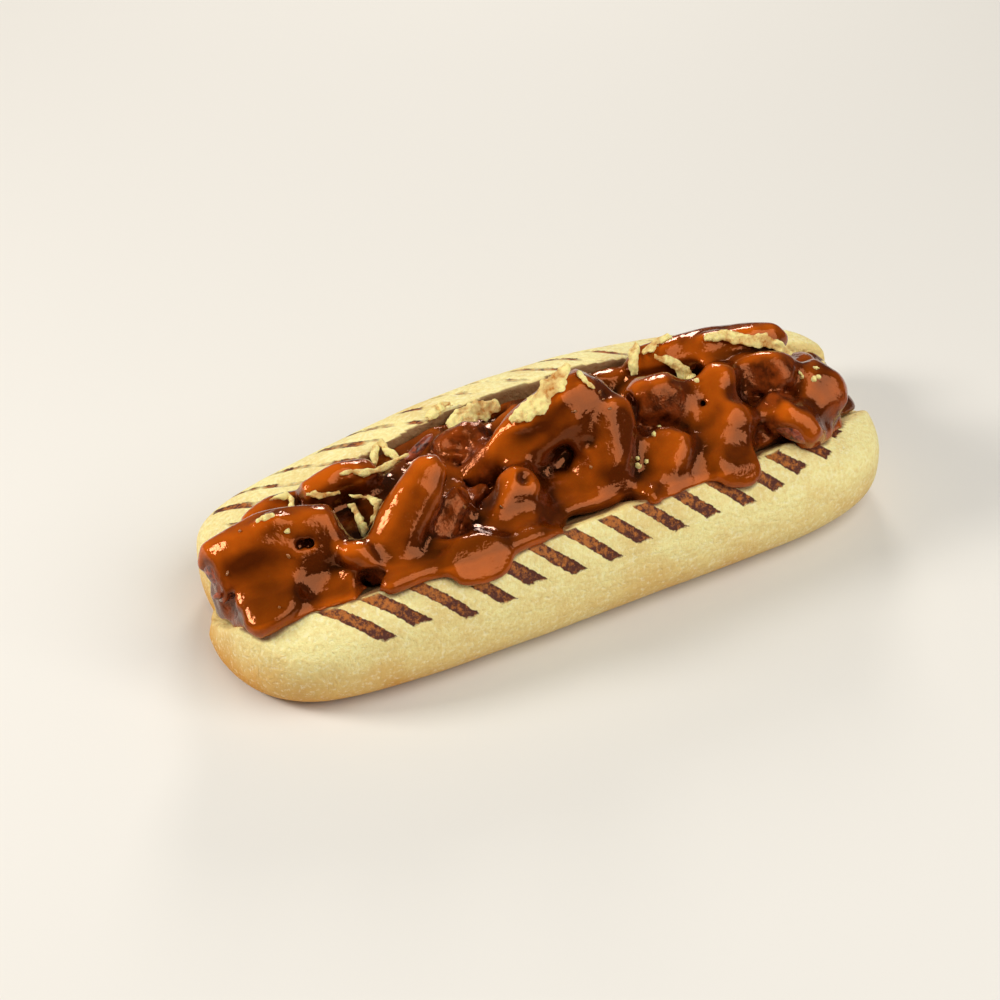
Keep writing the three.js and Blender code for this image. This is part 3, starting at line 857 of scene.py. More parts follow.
def chunk(block, name, kept):
    """A piece of chicken: its CAD node, cut flat on a few sides as a knife would. Where kept is 1
    nothing is cut off."""
    points, triangles = node_mesh(name)
    whole = distance(block, points, triangles, 8)
    shape = whole
    luck = np.random.default_rng(sum(map(ord, name)))
    ways = luck.normal(size=(FACETS, 3))
    ways[0] = (-0.1, -0.66, 0.74) + 0.2 * ways[0]
    ways[1] = (-0.3, 0.1, 0.95) + 0.2 * ways[1]
    length = np.linalg.svd(points - points.mean(axis=0), full_matrices=False)[2][0]
    ways = ways - 0.5 * (ways @ length)[:, None] * length
    x, y, z = block.axes()
    thickness = np.ptp(points, axis=0).min()
    sway = FACET_SWAY * min(1, thickness / SMALL_PIECE) ** 2 * ripples(block, 8, len(name))
    for way in ways / np.linalg.norm(ways, axis=1)[:, None]:
        far = (points @ way).max() - thickness * luck.uniform(*FACET_DEPTH)
        shape = overlap(shape, x * way[0] + y * way[1] + z * way[2] - far + sway, FACET_ROUND)
    return shape + (whole - shape) * kept


# %% [markdown]
# A knife cuts thigh meat into chunks with a few nearly flat faces, and heat rounds and twists
# them. So every CAD piece is cut by seven planes that sway a little, and softened. The cuts leave
# alone the tip that hangs over, and the places where an onion rests on the meat.

# %% The pieces of chicken as blocks
FILLING_CUBE = 0.78  # a finer block would pass the limit on the coat's faces
FILLING_REACH = 8  # distances further than this from the filling aren't needed
filling = Block([-112, -46.5, 2], [112, 46, 67], FILLING_CUBE)
pits = hollows(filling)
bare = patchiness(filling, BARE, 1.2)
crisp = np.full(filling.count, FILLING_REACH, np.float32)
for name in ONIONS:
    crisp = np.minimum(crisp, distance(filling, *node_mesh(name), FILLING_REACH))
kept = np.maximum(1 - ease(crisp, 2, 6), patchiness(filling, UNCUT, 3.0))
thigh = np.full(filling.count, FILLING_REACH, np.float32)
chunks = {}
for name in CHICKEN:
    low, high = (np.array(corner) * 1000 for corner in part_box(name))
    part, where = sub_block(filling, low - FILLING_REACH, high + FILLING_REACH)
    chunks[name] = part, where, chunk(part, name, kept[where])
    thigh[where] = melt(thigh[where], chunks[name][2], 2.0)
cubes = float((thigh < 0).sum())
print("all the chicken together is", round(cubes * filling.cell**3 / 1000), "cm3")

COAT = 1.0  # thickness of the sauce on a piece
PROUD = 0.3  # how far bare meat stands out
COAT_DRAWN_BACK = 0.9  # how far under the meat's surface the sauce lies at a bare spot
PIT_LINING = 0.9  # thickness of the sauce that lines a hollow

# %% [markdown]
# Grilled thigh is reddish brown from the marinade, with fibres along the piece and black char
# where it touched the bars. It is wet with juice and sauce, so it is fairly glossy.

# %% The chicken material
# Grilled thigh: moist fibres, some char, and a thin glossy film of juice over it.
meat, tree, shader = new_material(
    "grilled_chicken_thigh", Roughness=0.38, IOR=1.45, Subsurface_Weight=0.1,
    Subsurface_Scale=0.002, Coat_Weight=0.5, Coat_Roughness=0.12,
)
place = add(tree, "ShaderNodeTexCoord", {}).outputs["Object"]
turned = add(
    tree, "ShaderNodeMapping",
    {"Vector": place, "Rotation": (0.6, -0.4, 0.3), "Scale": (0.35, 1.0, 1.0)}
)
fibres = add(
    tree, "ShaderNodeTexNoise",
    {"Vector": turned.outputs[0], "Scale": per_mm / 1.1, "Detail": 3.0}
)
blotches = add(
    tree, "ShaderNodeTexNoise",
    {"Vector": place, "Scale": per_mm / 3.2, "Detail": 4.0, "Roughness": 0.65}
)
red_share = add(
    tree, "ShaderNodeMapRange", {"Value": fibres.outputs["Fac"], 1: 0.35, 2: 0.65, 3: 0.0, 4: 1.0}
)
flesh = add(
    tree, "ShaderNodeMix",
    {"Factor": red_share.outputs[0], MIX_A: colour("#7a2c12"), MIX_B: colour("#b0522a")},
    data_type="RGBA",
)
char_share = add(
    tree, "ShaderNodeMapRange",
    {"Value": blotches.outputs["Fac"], 1: 0.50, 2: 0.62, 3: 0.0, 4: 0.85}
)
grilled = add(
    tree, "ShaderNodeMix",
    {"Factor": char_share.outputs[0], MIX_A: flesh.outputs[MIX_RESULT], MIX_B: colour("#2a0f08")},
    data_type="RGBA",
)
fibre_bump = add(
    tree, "ShaderNodeBump", {"Height": fibres.outputs["Fac"], "Strength": 0.6, "Distance": 0.0006}
)
blotch_bump = add(
    tree, "ShaderNodeBump",
    {
        "Height": blotches.outputs["Fac"], "Normal": fibre_bump.outputs[0], "Strength": 0.6,
        "Distance": 0.0012,
    },
)
tree.links.new(grilled.outputs[MIX_RESULT], shader.inputs["Base Color"])
tree.links.new(blotch_bump.outputs[0], shader.inputs["Normal"])
shader.inputs["Subsurface Radius"].default_value = (1.0, 0.4, 0.2)

print("the meat takes", len(tree.nodes), "nodes")

# %% [markdown]
# The meat lies a millimetre inside the coat's surface, with its own small lumps, so that where
# the coat is thin or drawn back the meat really is there.

# %% Each piece from its own CAD node
for count, name in enumerate(CHICKEN):
    part, where, shape = chunks[name]
    size = (np.array(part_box(name)[1]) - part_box(name)[0]) * 1000
    lumps = 0.25 * ripples(part, 3.4, 30 + count) + 0.2 * ripples(part, 2.0, 60 + count)
    small = min(1, size.min() / SMALL_PIECE) ** 2
    body = blur(part, shape, 1.4) + small * (COAT * (1 - bare[where]) + lumps) - PROUD * bare[where]
    body = overlap(body, PIT_LINING - pits[where], 1.0)
    points, quads = surface(part, body)
    piece(name.replace("chicken_", "thigh_"), points, quads, meat, [name], "chicken")

# %% [markdown]
# ## The coat
#
# Thick sauce does four things on a heap of meat. It follows each piece at about its own
# thickness, it closes the narrow gaps between pieces, it hangs as a sheet where it ran down in
# front of a wider gap, and it banks up in the corner at the roll's lip before it runs over.
# It could be sculpted or simulated; a simulation of so thick a sauce is slow and hard to steer.
# Here the chicken and the pool of sauce from the construction are melted together, and a ball is
# rolled over them: a small one everywhere and a larger one where a sheet hangs.

# %% The coat of sauce as a block
def lip_distance(block, line):
    """How far each cube is from the lip."""
    x, y, z = block.axes()
    lip_y, lip_z = (np.interp(x, line[:, 0], line[:, k]) for k in (1, 2))
    return np.sqrt((y - lip_y) ** 2 + (z - lip_z) ** 2)


LIP_FILL = 9.0  # this near to the front lip the sauce fills the corner under the filling
MENISCUS = 4.5  # the radius of its hollow surface there
LIP_FILL_LEFT, LIP_FILL_RIGHT = (-108, -102), (84, 90)  # it starts and ends between these
LIP_GAPS = ((0, 13), (59, 8))  # middle and half length of the stretches where it stays inside
LIP_GAP_DEPTH = 5.0
CREASE = 2.2  # how softly the sauce rounds the crease between two pieces
BRIDGE = 3.0  # it closes gaps up to twice this wide
SHEET_BRIDGE = 6.5  # a hanging sheet closes gaps up to twice this wide
SHEETS = [  # where it hangs as a sheet
    ("chicken_slab_left", (0.35, 0.20, 0.25), 18.0),
    ("chicken_low_right", (0.50, 0.30, 0.40), 11.0),
    ("chicken_low_front", (0.20, 0.10, 0.00), 7.0),
    ("chicken_hollow", (0.05, 0.30, 0.60), 7.0),
    ("chicken_upright", (-0.05, -0.10, 0.38), 9.0),
    ("chicken_mid_right", (0.05, 0.25, 0.55), 9.5),
]
APART = [  # where the sauce leaves a gap open
    ("chicken_diagonal", (0.04, 0.25, 0.14), 9.0),
    ("chicken_upright", (0.95, 0.50, 0.75), 6.0),
    ("chicken_cube", (0.50, 0.50, 1.10), 5.0),
    ("chicken_behind_mid", (0.70, 0.20, 0.70), 9.0),
]
pool = distance(filling, *node_mesh("satay_sauce"), FILLING_REACH)
plain = melt(thigh, blur(filling, pool, 1.6), CREASE)
sheet = patchiness(filling, SHEETS, 4.0)
wide = fill_creases(filling, plain, SHEET_BRIDGE)
narrow = fill_creases(filling, plain, BRIDGE)
apart = patchiness(filling, APART, 3.0)
filled = narrow * (1 - sheet) + wide * sheet
filled = blur(filling, filled + (np.minimum(thigh, pool) - filled) * apart, 1.0)
under_onion = 1 - ease(crisp, 0.5, 3.5)
coat = filled + (plain + 0.1 - filled) * under_onion
bread_here, crust_here, knife_here = roll_block(filling)

print("sheets hang over", round(float((sheet[np.abs(filled) < 1] > 0.5).mean() * 100)), "% of it")

# %% [markdown]
# A thick sauce keeps folds where it slid and ropes where it ran. Folds come from the creases of
# an absolute value, and runs from ripples that are long from top to bottom. Both are calmed on the
# crust, where the sauce lies thin and flat.

# %% Folds and runs in the sauce
folds = np.abs(ripples(filling, (11, 9, 16), 41)) - 0.35
runs = ripples(filling, (6, 10, 22), 44)
swells = ripples(filling, 5.5, 42)
waves = 0.9 * folds + 0.4 * runs + 0.5 * swells + 0.15 * ripples(filling, 2.6, 43)
calm = (1 - 0.45 * under_onion) * (1 - 0.6 * ease(crust_here, -2, 1))
coat = coat + np.minimum(waves, 0.8) * calm
print("the folds and runs are up to", round(float(np.abs(waves * calm).max()), 1), "mm high")

# %% [markdown]
# Against the lip the sauce's surface is hollow, like any liquid's in a corner, so the same
# rolling ball is used on the filling and the roll together. In two stretches the sauce stays
# inside and the corner lies open and dark.

# %% The corner between the filling and the front lip
along_x = filling.axes()[0]
in_gap = np.zeros_like(along_x)
for middle, half in LIP_GAPS:
    in_gap = np.maximum(in_gap, 1 - ease(np.abs(along_x - middle), half - 5, half + 3))
between_ends = ease(along_x, *LIP_FILL_LEFT) * (1 - ease(along_x, *LIP_FILL_RIGHT))
from_lip = lip_distance(filling, lips[-1])
over_crust = np.maximum(crust_here - 1.2, knife_here - 1.5)
at_lip = (1 - ease(from_lip, LIP_FILL - 3, LIP_FILL + 3)) * (1 - ease(over_crust, -0.8, 0.8))
at_lip = at_lip * between_ends * (1 - in_gap)
banked = fill_creases(filling, np.minimum(coat, bread_here), MENISCUS)
coat = coat + (np.minimum(coat, banked) - coat) * at_lip
coat = coat + LIP_GAP_DEPTH * in_gap * (1 - ease(from_lip, 0, 9))
print("sauce fills", round(float((banked < 0)[at_lip > 0.5].mean() * 100)), "% of the lip's corner")

# %% [markdown]
# Last the coat is opened at its pits, thinned to a glaze where char and fibres show through it, and
# cut clear of the bread and the onions. The same glaze is painted shade on the shoulder and on the
# middle piece behind, which lie in shade.

# %% Pits, glazed spots, painted shade and room for the bread and the onions
SUNK_IN_BREAD, SUNK_IN_ONION = 0.6, 0.25  # the coat ends this far inside them, so no gap shows
coat = overlap(coat, -pits, 2.0)
glazed = patchiness(filling, GLAZED_AND_SHADED_SPOTS, 2.0)
rough = 0.35 * ripples(filling, 2.2, 45) + 0.2 * ripples(filling, 1.6, 46)
coat = coat * (1 - glazed) + (np.maximum(melt(thigh, pool + 0.4, 1.0), coat) + rough) * glazed
coat = coat * (1 - bare) + melt(thigh + COAT_DRAWN_BACK, blur(filling, pool, 1.6) + 0.4, 1.0) * bare
coat = overlap(coat, -bread_here - SUNK_IN_BREAD, 0.4)
coat = overlap(coat, -crisp - SUNK_IN_ONION, 0.5)
coat_points, coat_quads = surface(filling, coat)
print("the coat's skin has", len(coat_quads), "quads")

# %% What the coat's colour follows, painted light and shade included
LIT_SIDE_WAY = (-0.52, -0.12, 0.84)  # painted light: the sides that face this way, up and to the left toward the back-left softbox, get a brighter orange
# How deep the sauce lies in the cut. This is used to paint shade there.
in_cut = 1 - ease(sample(filling, knife_here, coat_points), -2, 1)
depth = np.clip(sample(filling, thigh, coat_points), 0, 8) * in_cut
near = np.clip(coat, -6, 6)
ridge = sample(filling, blur(filling, near, 5) - near, coat_points)
slopes = np.gradient(blur(filling, near, 1.5))
slope = np.stack([sample(filling, values, coat_points) for values in slopes], axis=1)
slope = slope / np.linalg.norm(slope, axis=1)[:, None]
upward = slope[:, 2]
facing_light = slope @ LIT_SIDE_WAY
# Painted light: the sauce is painted a brighter orange on the sides that face the light and on
# ridges.
thin = 0.65 * ease(facing_light, 0.6, 0.97) + 0.5 * ease(ridge, 0.15, 0.9) - 0.15
# Glazed spots. Two of them are painted shade.
glaze_and_shade_here = sample(filling, glazed, coat_points)
print("the sauce is thin over", round(float((thin > 0.5).mean() * 100)), "% of the coat")
print("and only a glaze over", round(float((glaze_and_shade_here > 0.5).mean() * 100)), "%")

# %% [markdown]
# ## Satay sauce
#
# Ground peanut, coconut milk and soy cook down to a thick caramel-brown sauce with a wet gloss.
# It is slightly translucent. Its colour carries painted light and shade. It is painted a brighter
# orange on ridges and on the sides that face the back-left softbox, which is painted light. It is
# nearly black-brown in creases and where it lies deep in the cut, which is painted shade. IOR 1.47
# is that of oil, and a low roughness gives the wet shine.

# %% The sauce material
# Satay sauce: an oily emulsion, very smooth, with warm reflections and light inside it.
sauce, tree, shader = new_material(
    "thick_satay_sauce", IOR=1.47, Specular_IOR_Level=1.0, Specular_Tint=colour("#ff9f6a"),
    Subsurface_Weight=0.15, Subsurface_Scale=0.0025,
)
place = add(tree, "ShaderNodeTexCoord", {}).outputs["Object"]
depth_node = add(tree, "ShaderNodeAttribute", {}, attribute_name="sauce_depth").outputs["Fac"]
ridge_node = add(tree, "ShaderNodeAttribute", {}, attribute_name="ridge").outputs["Fac"]
glow_node = add(tree, "ShaderNodeAttribute", {}, attribute_name="thinness").outputs["Fac"]
clouds = add(tree, "ShaderNodeTexNoise", {"Vector": place, "Scale": per_mm / 9, "Detail": 2.0})
cloud_share = add(
    tree, "ShaderNodeMapRange",
    {"Value": clouds.outputs["Fac"], 1: 0.3, 2: 0.7, 3: -0.15, 4: 0.2}
)
# Painted light lifts the colour towards a lit orange. The clouds are the sauce's own uneven tone.
glow_and_clouds = add(
    tree, "ShaderNodeMath",
    {0: glow_node, 1: cloud_share.outputs[0]},
    operation="ADD", use_clamp=True
)
lit_caramel = add(
    tree, "ShaderNodeMix",
    {"Factor": glow_and_clouds.outputs[0], MIX_A: colour("#541f03"), MIX_B: colour("#c85c0c")},
    data_type="RGBA",
)
# Painted shade: the colour goes to nearly black in creases and where the sauce lies deep in the
# cut.
crease_shade = add(tree, "ShaderNodeMapRange", {"Value": ridge_node, 1: 0.1, 2: -0.65, 3: 0.0, 4: 0.9})
deep_cut_shade = add(tree, "ShaderNodeMapRange", {"Value": depth_node, 1: 1.6, 2: 6.5, 3: 0.0, 4: 0.6})
painted_shade = add(
    tree, "ShaderNodeMath",
    {0: crease_shade.outputs[0], 1: deep_cut_shade.outputs[0]},
    operation="ADD", use_clamp=True
)
shaded = add(
    tree, "ShaderNodeMix",
    {"Factor": painted_shade.outputs[0], MIX_A: lit_caramel.outputs[MIX_RESULT], MIX_B: colour("#190600")},
    data_type="RGBA",
)
# Where only a glaze covers the meat, its own red-brown and its charred flecks show through. On the
# shoulder and on the middle piece behind, this darker colour is painted shade.
glaze_node = add(tree, "ShaderNodeAttribute", {}, attribute_name="glaze").outputs["Fac"]
under_glaze = add(
    tree, "ShaderNodeTexNoise",
    {"Vector": place, "Scale": per_mm / 3.0, "Detail": 4.0, "Roughness": 0.6}
)
fleck_share = add(
    tree, "ShaderNodeMapRange",
    {"Value": under_glaze.outputs["Fac"], 1: 0.40, 2: 0.62, 3: 0.0, 4: 1.0}
)
meat_seen = add(
    tree, "ShaderNodeMix",
    {"Factor": fleck_share.outputs[0], MIX_A: colour("#80340f"), MIX_B: colour("#3a1204")},
    data_type="RGBA",
)
glaze_share = add(tree, "ShaderNodeMath", {0: glaze_node, 1: 0.8}, operation="MULTIPLY")
dull = add(tree, "ShaderNodeMapRange", {"Value": glaze_node, 3: 0.08, 4: 0.19})
glazed_meat = add(
    tree, "ShaderNodeMix",
    {
        "Factor": glaze_share.outputs[0], MIX_A: shaded.outputs[MIX_RESULT],
        MIX_B: meat_seen.outputs[MIX_RESULT],
    },
    data_type="RGBA",
)
skin_noise = add(
    tree, "ShaderNodeTexNoise",
    {"Vector": place, "Scale": per_mm / 2.8, "Detail": 3.0, "Roughness": 0.5}
)
skin_bump = add(
    tree, "ShaderNodeBump",
    {"Height": skin_noise.outputs["Fac"], "Strength": 0.2, "Distance": 0.0014}
)
meat_bump = add(
    tree, "ShaderNodeBump",
    {
        "Height": under_glaze.outputs["Fac"], "Normal": skin_bump.outputs[0],
        "Strength": glaze_share.outputs[0],
        "Distance": 0.0006,
    },
)
tree.links.new(glazed_meat.outputs[MIX_RESULT], shader.inputs["Base Color"])
tree.links.new(dull.outputs[0], shader.inputs["Roughness"])
tree.links.new(meat_bump.outputs[0], shader.inputs["Normal"])
shader.inputs["Subsurface Radius"].default_value = (1.0, 0.35, 0.1)
coat_object = piece(
    "satay_coat", coat_points, coat_quads, sauce, ["satay_sauce"], "sauce",
    sauce_depth=depth, ridge=ridge, thinness=thin, glaze=glaze_and_shade_here,
)

# %% [markdown]
# Bread drinks up the sauce that lies on it. The crust is stained only under the sauce itself. The
# open crumb is painted brown for several millimetres round it, except near the ends. Next to the
# sauce that brown is stain. Further out it is painted shade in the gap along the lip and on the
# back half's inside.

# %% The crust that the sauce has stained, and painted shade on the crumb near it
near_sauce = sample(filling, coat, roll_points)
toward_ends = ease(np.abs(roll_points[:, 0]), 82, 97)
# On the cut faces the brown reaches 7 mm from the sauce. It is mostly painted shade, with the stain
# next to the sauce.
crumb_stain_and_shade = (1 - ease(near_sauce, 1, 7)) * (1 - toward_ends)
sauce_stain_and_shade = np.where(crumb > 0.5, crumb_stain_and_shade, 1 - ease(near_sauce, 0.3, 1.7))
layer = roll_object.data.attributes.new("sauce_stain_and_shade", "FLOAT", "POINT")
layer.data.foreach_set("value", sauce_stain_and_shade.astype(np.float32))
print("sauce touches", round(float((sauce_stain_and_shade > 0.5).mean() * 100)), "% of the roll's skin")

# %% [markdown]
# ## Fried onions
#
# Thin slices of onion are floured and fried until they are pale gold and brittle. The batter
# leaves a crumbly, bubbly skin and ragged brown edges. Ribbons could be bent from a plane with a
# thickness, but they would look cut from card. So each flake starts from its own CAD strip, and
# its skin is blistered.

# %% The onion material
# Fried batter on a thin slice: dry, crumbly, pale gold, and it lets some light through.
onion, tree, shader = new_material(
    "fried_onion", Roughness=0.55, IOR=1.45, Subsurface_Weight=0.2, Subsurface_Scale=0.002
)
place = add(tree, "ShaderNodeTexCoord", {}).outputs["Object"]
brown_and_shade_node = add(tree, "ShaderNodeAttribute", {}, attribute_name="browned").outputs["Fac"]
batter = add(
    tree, "ShaderNodeTexNoise",
    {"Vector": place, "Scale": per_mm / 1.4, "Detail": 4.0, "Roughness": 0.7}
)
brown_1 = add(
    tree, "ShaderNodeMapRange",
    {"Value": batter.outputs["Fac"], 1: 0.48, 2: 0.70, 3: 0.0, 4: 0.5},
)
# The stored browning is real brown at the thin edges and painted shade in the dips.
brown = add(
    tree, "ShaderNodeMath", {0: brown_1.outputs[0], 1: brown_and_shade_node}, operation="ADD", use_clamp=True
)
fried = add(
    tree, "ShaderNodeMix",
    {"Factor": brown.outputs[0], MIX_A: colour("#ffec9c"), MIX_B: colour("#c0741a")},
    data_type="RGBA",
)
batter_bump = add(
    tree, "ShaderNodeBump", {"Height": batter.outputs["Fac"], "Strength": 1.0, "Distance": 0.0007}
)
tree.links.new(fried.outputs[MIX_RESULT], shader.inputs["Base Color"])
tree.links.new(batter_bump.outputs[0], shader.inputs["Normal"])
shader.inputs["Subsurface Radius"].default_value = (1.0, 0.6, 0.25)

print("the onion takes", len(tree.nodes), "nodes")

# %% [markdown]
# Fat bubbles through the batter as it fries, so the skin is blistered at three sizes. The thin
# edges brown first, and the dips between blisters are painted browner, which is painted shade. Both
# are stored at each point.

# %% Each flake from its own CAD strip
FLAKE_CUBE = 0.26  # fine enough for blisters of half a millimetre
for count, name in enumerate(ONIONS):
    low, high = (np.array(corner) * 1000 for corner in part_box(name))
    space = Block(low - 2, high + 2, FLAKE_CUBE)
    points, triangles = node_mesh(name)
    strip = distance(space, points, triangles, 3)
    bubbles = 0.30 * ripples(space, 1.1, 80 + count) + 0.20 * ripples(space, 0.6, 110 + count)
    bubbles = bubbles + 0.38 * ripples(space, 2.6, 140 + count)
    flake = melt(strip + 0.42, strip + 0.14 + bubbles, 0.2)
    points, quads = surface(space, flake)
    dips = sample(space, bubbles, points)
    edges = 1 - ease(-sample(space, blur(space, strip, 2.4), points), -0.1, 0.5)
    # Painted shade in the dips between blisters, and real browning at the thin edges.
    browned = np.clip(1.2 * dips + edges - 0.7, -0.4, 0.7)
    piece(name.replace("onion_", "crisp_"), points, quads, onion, [name], "onion", browned=browned)

# %% [markdown]
# ## Crumbs and bits in the sauce
#
# Little crumbs of onion lie scattered on the sauce, and ground peanut makes small bumps in it.
# Both repeat a small shape at random, which is what Geometry Nodes do best: points spread over
# the coat, a little lump set on each, turned and scaled by chance, and all of it made real.

# %% A tree that scatters small lumps
def scatter_tree(name):
    """Inputs: the surface, a density attribute, the most lumps per square metre, their size, how
    uneven they are, the seed and the material."""
    tree = bpy.data.node_groups.new(name, "GeometryNodeTree")
    face = tree.interface
    face.new_socket("Geometry", in_out="INPUT", socket_type="NodeSocketGeometry")
    face.new_socket("Most per square metre", in_out="INPUT", socket_type="NodeSocketFloat")
    face.new_socket("Radius", in_out="INPUT", socket_type="NodeSocketFloat")
    face.new_socket("Unevenness", in_out="INPUT", socket_type="NodeSocketFloat")
    face.new_socket("Seed", in_out="INPUT", socket_type="NodeSocketInt")
    face.new_socket("Material", in_out="INPUT", socket_type="NodeSocketMaterial")
    face.new_socket("Geometry", in_out="OUTPUT", socket_type="NodeSocketGeometry")
    given = tree.nodes.new("NodeGroupInput").outputs
    share = add(tree, "GeometryNodeInputNamedAttribute", {"Name": "scatter"}, data_type="FLOAT")
    density = add(
        tree, "ShaderNodeMath",
        {0: share.outputs["Attribute"], 1: given["Most per square metre"]},
        operation="MULTIPLY",
    )
    spread = add(
        tree, "GeometryNodeDistributePointsOnFaces",
        {"Mesh": given["Geometry"], "Density": density.outputs[0], "Seed": given["Seed"]},
    )
    ball_shape = add(
        tree, "GeometryNodeMeshIcoSphere", {"Radius": given["Radius"], "Subdivisions": 2}
    )
    lumpy = add(tree, "ShaderNodeTexNoise", {"Scale": 1.3 * per_mm, "Detail": 1.0})
    centred = add(
        tree, "ShaderNodeVectorMath",
        {0: lumpy.outputs["Color"], 1: (0.5, 0.5, 0.5)},
        operation="SUBTRACT"
    )
    push = add(
        tree, "ShaderNodeVectorMath", {0: centred.outputs[0], "Scale": given["Unevenness"]},
        operation="SCALE",
    )
    lump = add(
        tree, "GeometryNodeSetPosition",
        {"Geometry": ball_shape.outputs["Mesh"], "Offset": push.outputs[0]}
    )
    size = add(
        tree, "FunctionNodeRandomValue",
        {0: (0.5, 0.5, 0.35), 1: (1.5, 1.3, 0.9), "Seed": given["Seed"]},
        data_type="FLOAT_VECTOR",
    )
    turn = add(
        tree, "FunctionNodeRandomValue",
        {0: (0.0, 0.0, 0.0), 1: (6.28, 6.28, 6.28), "Seed": given["Seed"]},
        data_type="FLOAT_VECTOR",
    )
    placed = add(
        tree, "GeometryNodeInstanceOnPoints",
        {
            "Points": spread.outputs["Points"], "Instance": lump.outputs["Geometry"],
            "Rotation": turn.outputs[0], "Scale": size.outputs[0],
        },
    )
    real = add(tree, "GeometryNodeRealizeInstances", {"Geometry": placed.outputs["Instances"]})
    dressed = add(
        tree, "GeometryNodeSetMaterial",
        {"Geometry": real.outputs["Geometry"], "Material": given["Material"]},
    )
    shaded = add(tree, "GeometryNodeSetShadeSmooth", {"Geometry": dressed.outputs["Geometry"]})
    add(tree, "NodeGroupOutput", {"Geometry": shaded.outputs["Geometry"]})
    return tree


def scatter(name, tree, share, values, food, slot):
    """Runs the tree on a copy of the coat and keeps the lumps as one plain mesh."""
    ground = bpy.data.objects.new(name + "_ground", coat_object.data.copy())
    bpy.context.scene.collection.objects.link(ground)
    layer = ground.data.attributes.new("scatter", "FLOAT", "POINT")
    layer.data.foreach_set("value", np.asarray(share, np.float32))
    modifier = ground.modifiers.new("scatter", "NODES")
    modifier.node_group = tree
    for item in tree.interface.items_tree:
        if item.in_out == "INPUT" and item.name in values:
            modifier[item.identifier] = values[item.name]
    ready = ground.evaluated_get(bpy.context.evaluated_depsgraph_get())
    mesh = bpy.data.meshes.new_from_object(ready)
    ground.modifiers.remove(modifier)
    bpy.data.objects.remove(ground)
    co = np.empty(len(mesh.vertices) * 3, np.float32)
    mesh.vertices.foreach_get("co", co)
    faces = np.array([list(p.vertices) for p in mesh.polygons])
    return piece(name, co.reshape(-1, 3) / MM, faces, food, [], slot)


# %% [markdown]
# The crumbs lie in small sprinklings where flakes broke, with a stray one here and there.

# %% Onion crumbs on the coat
CRUMB_SPOTS = [  # node, place in its box and radius of the sprinkling
    ("chicken_end_right", (0.35, 0.45, 0.95), 7.0),
    ("chicken_hollow", (0.80, 0.20, 0.35), 4.0),
    ("chicken_mid_right", (0.10, 0.40, 0.95), 4.0),
    ("chicken_low_front", (0.85, 0.40, 0.85), 3.5),
]
STRAY_CRUMBS = 0.004  # how dense they lie elsewhere, as a share of a sprinkling's middle
near_crumbs = np.full(len(coat_points), STRAY_CRUMBS)
for name, share, radius in CRUMB_SPOTS:
    away = np.linalg.norm(coat_points - place_in(name, share), axis=1)
    near_crumbs = np.maximum(near_crumbs, 1 - ease(away, 0.3 * radius, radius))
near_crumbs = near_crumbs * ease(upward, 0.15, 0.5)

tree = scatter_tree("scattered_lumps")
scatter(
    "onion_crumbs", tree, near_crumbs,
    {
        "Most per square metre": 120000.0, "Radius": 0.0010, "Unevenness": 0.0016, "Seed": 5,
        "Material": onion,
    },
    onion, "onion",
)

# %% [markdown]
# A few bits of crushed peanut are left whole in the sauce. They are roast brown and glazed.

# %% Crushed peanut, stuck in the sauce and glazed by it
# Roast peanut: oily and semi-matt, under a thin clear film of sauce.
peanut, tree_of_peanut, shader = new_material(
    "crushed_roast_peanut", Roughness=0.3, IOR=1.45, Coat_Weight=0.6, Coat_Roughness=0.08
)
place = add(tree_of_peanut, "ShaderNodeTexCoord", {}).outputs["Object"]
roast = add(
    tree_of_peanut, "ShaderNodeTexNoise", {"Vector": place, "Scale": per_mm / 1.2, "Detail": 3.0}
)
roasted = add(
    tree_of_peanut, "ShaderNodeMix",
    {"Factor": roast.outputs["Fac"], MIX_A: colour("#6e3410"), MIX_B: colour("#b06f30")},
    data_type="RGBA",
)
tree_of_peanut.links.new(roasted.outputs[MIX_RESULT], shader.inputs["Base Color"])
scatter(
    "peanut_bits", tree, 0.3 + 0.7 * ease(upward, -0.2, 0.4),
    {
        "Most per square metre": 1800.0, "Radius": 0.0007, "Unevenness": 0.0008, "Seed": 9,
        "Material": peanut,
    },
    peanut, "sauce",
)

# %% [markdown]
# ## Floor, light and camera
#
# The table is plain and pale. The main light is a softbox behind the sandwich and to the left,
# so that the sauce's ridges sparkle and the inside of the back half lies in shade. A second one
# over the front gives the sauce its broad soft reflections.

# %% Floor
floor_mesh = bpy.data.meshes.new("floor")
TABLE_HALF, TABLE_TOP = 3.0, -0.0002
corners = [(x, y, TABLE_TOP) for x, y in ((-1, -1), (1, -1), (1, 1), (-1, 1))]
corners = [(TABLE_HALF * x, TABLE_HALF * y, z) for x, y, z in corners]
floor_mesh.from_pydata(corners, [], [(0, 1, 2, 3)])
floor = bpy.data.objects.new("floor", floor_mesh)
bpy.context.scene.collection.objects.link(floor)
floor_paint, tree, shader = new_material("pale_table", Roughness=0.8)
shader.inputs["Base Color"].default_value = colour("#e4e1dc")
floor_mesh.materials.append(floor_paint)
floor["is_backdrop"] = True

print("the table's top is", round(-TABLE_TOP * 1000, 1), "mm under the sandwich")

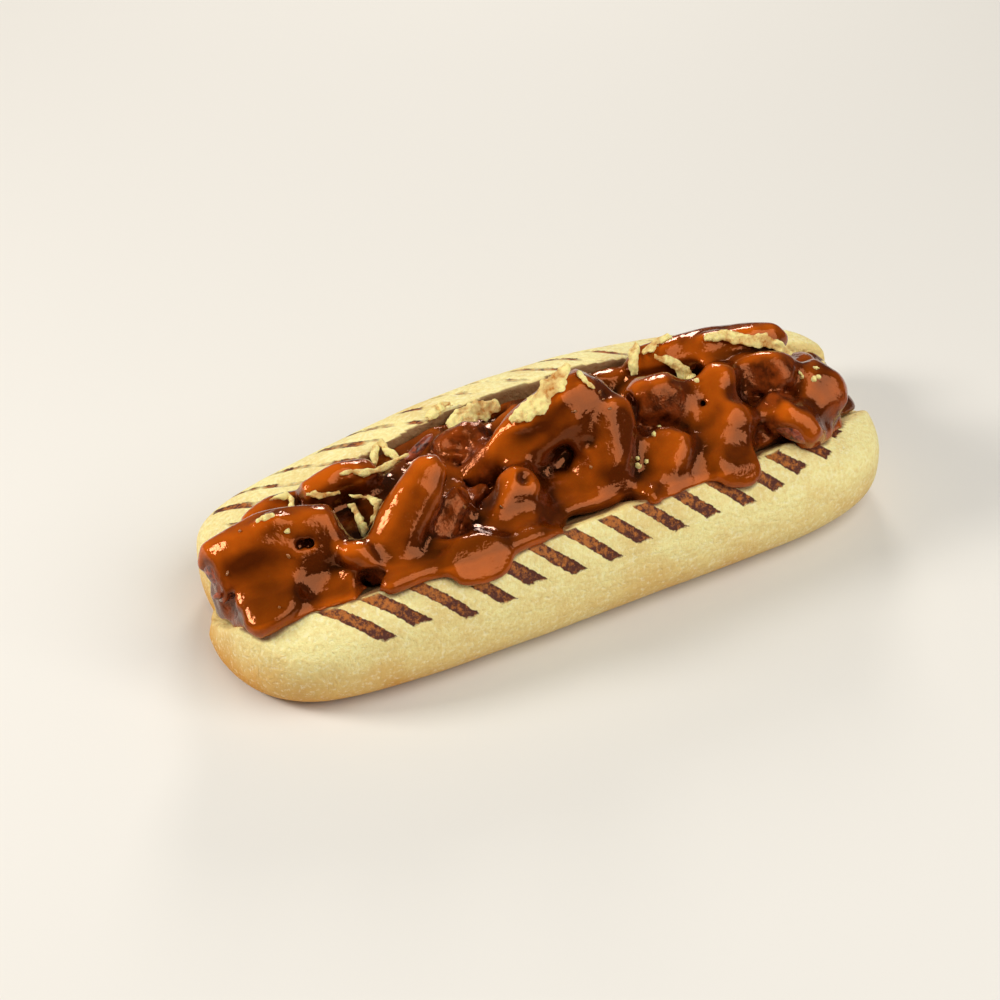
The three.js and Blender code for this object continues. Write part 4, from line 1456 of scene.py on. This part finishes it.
# %% Lights
def softbox(name, toward, away, width, power, tint):
    """A square light that looks at the sandwich from a direction, that many metres away."""
    data = bpy.data.lights.new(name, "AREA")
    data.size, data.energy, data.color = width, power, colour(tint)[:3]
    light = bpy.data.objects.new(name, data)
    spot = Vector(toward).normalized() * away
    light.location = spot
    light.rotation_euler = spot.to_track_quat("Z", "Y").to_euler()
    bpy.context.scene.collection.objects.link(light)


softbox("back_left_softbox", (-0.85, 0.35, 0.60), 0.9, 0.28, 5.5, "#fffaf2")
softbox("back_right_softbox", (0.45, 0.85, 0.50), 0.9, 0.22, 2.6, "#fffaf2")
softbox("front_softbox", (0.25, -0.60, 0.80), 0.9, 0.85, 7.2, "#fffdf8")
world = bpy.data.worlds.new("studio")
world.use_nodes = True
world.node_tree.nodes["Background"].inputs["Color"].default_value = colour("#eef0ea")
world.node_tree.nodes["Background"].inputs["Strength"].default_value = 0.10
bpy.context.scene.world = world
print("three softboxes and a faint even light")
bpy.context.scene.view_settings.view_transform = "Standard"

# %% [markdown]
# The camera looks down at the sandwich's front at 38 degrees, turned 29 degrees to the left, with
# a long lens from 80 cm, as food is usually shot.

# %% Camera
AZIMUTH, ELEVATION = math.radians(-29.2), math.radians(38.0)
CAMERA_AWAY = 0.8
LOOKS_AT = Vector((hinge + (-15.8, -8.7, 21.4)) * MM)
lens = bpy.data.cameras.new("camera")
lens.lens, lens.sensor_width = 100, 36
camera = bpy.data.objects.new("camera", lens)
bpy.context.scene.collection.objects.link(camera)
level = math.cos(ELEVATION)
back = Vector((math.sin(AZIMUTH) * level, -math.cos(AZIMUTH) * level, math.sin(ELEVATION)))
camera.location = LOOKS_AT + back * CAMERA_AWAY
camera.rotation_euler = back.to_track_quat("Z", "Y").to_euler()
bpy.context.scene.camera = camera
print("the camera stands at", [round(v, 3) for v in camera.location], "m")

# %% Measure the size and finish
bpy.context.view_layer.update()
low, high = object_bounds()
print("the dressed sandwich is", [round((b - a) * 1000, 1) for a, b in zip(low, high)], "mm")
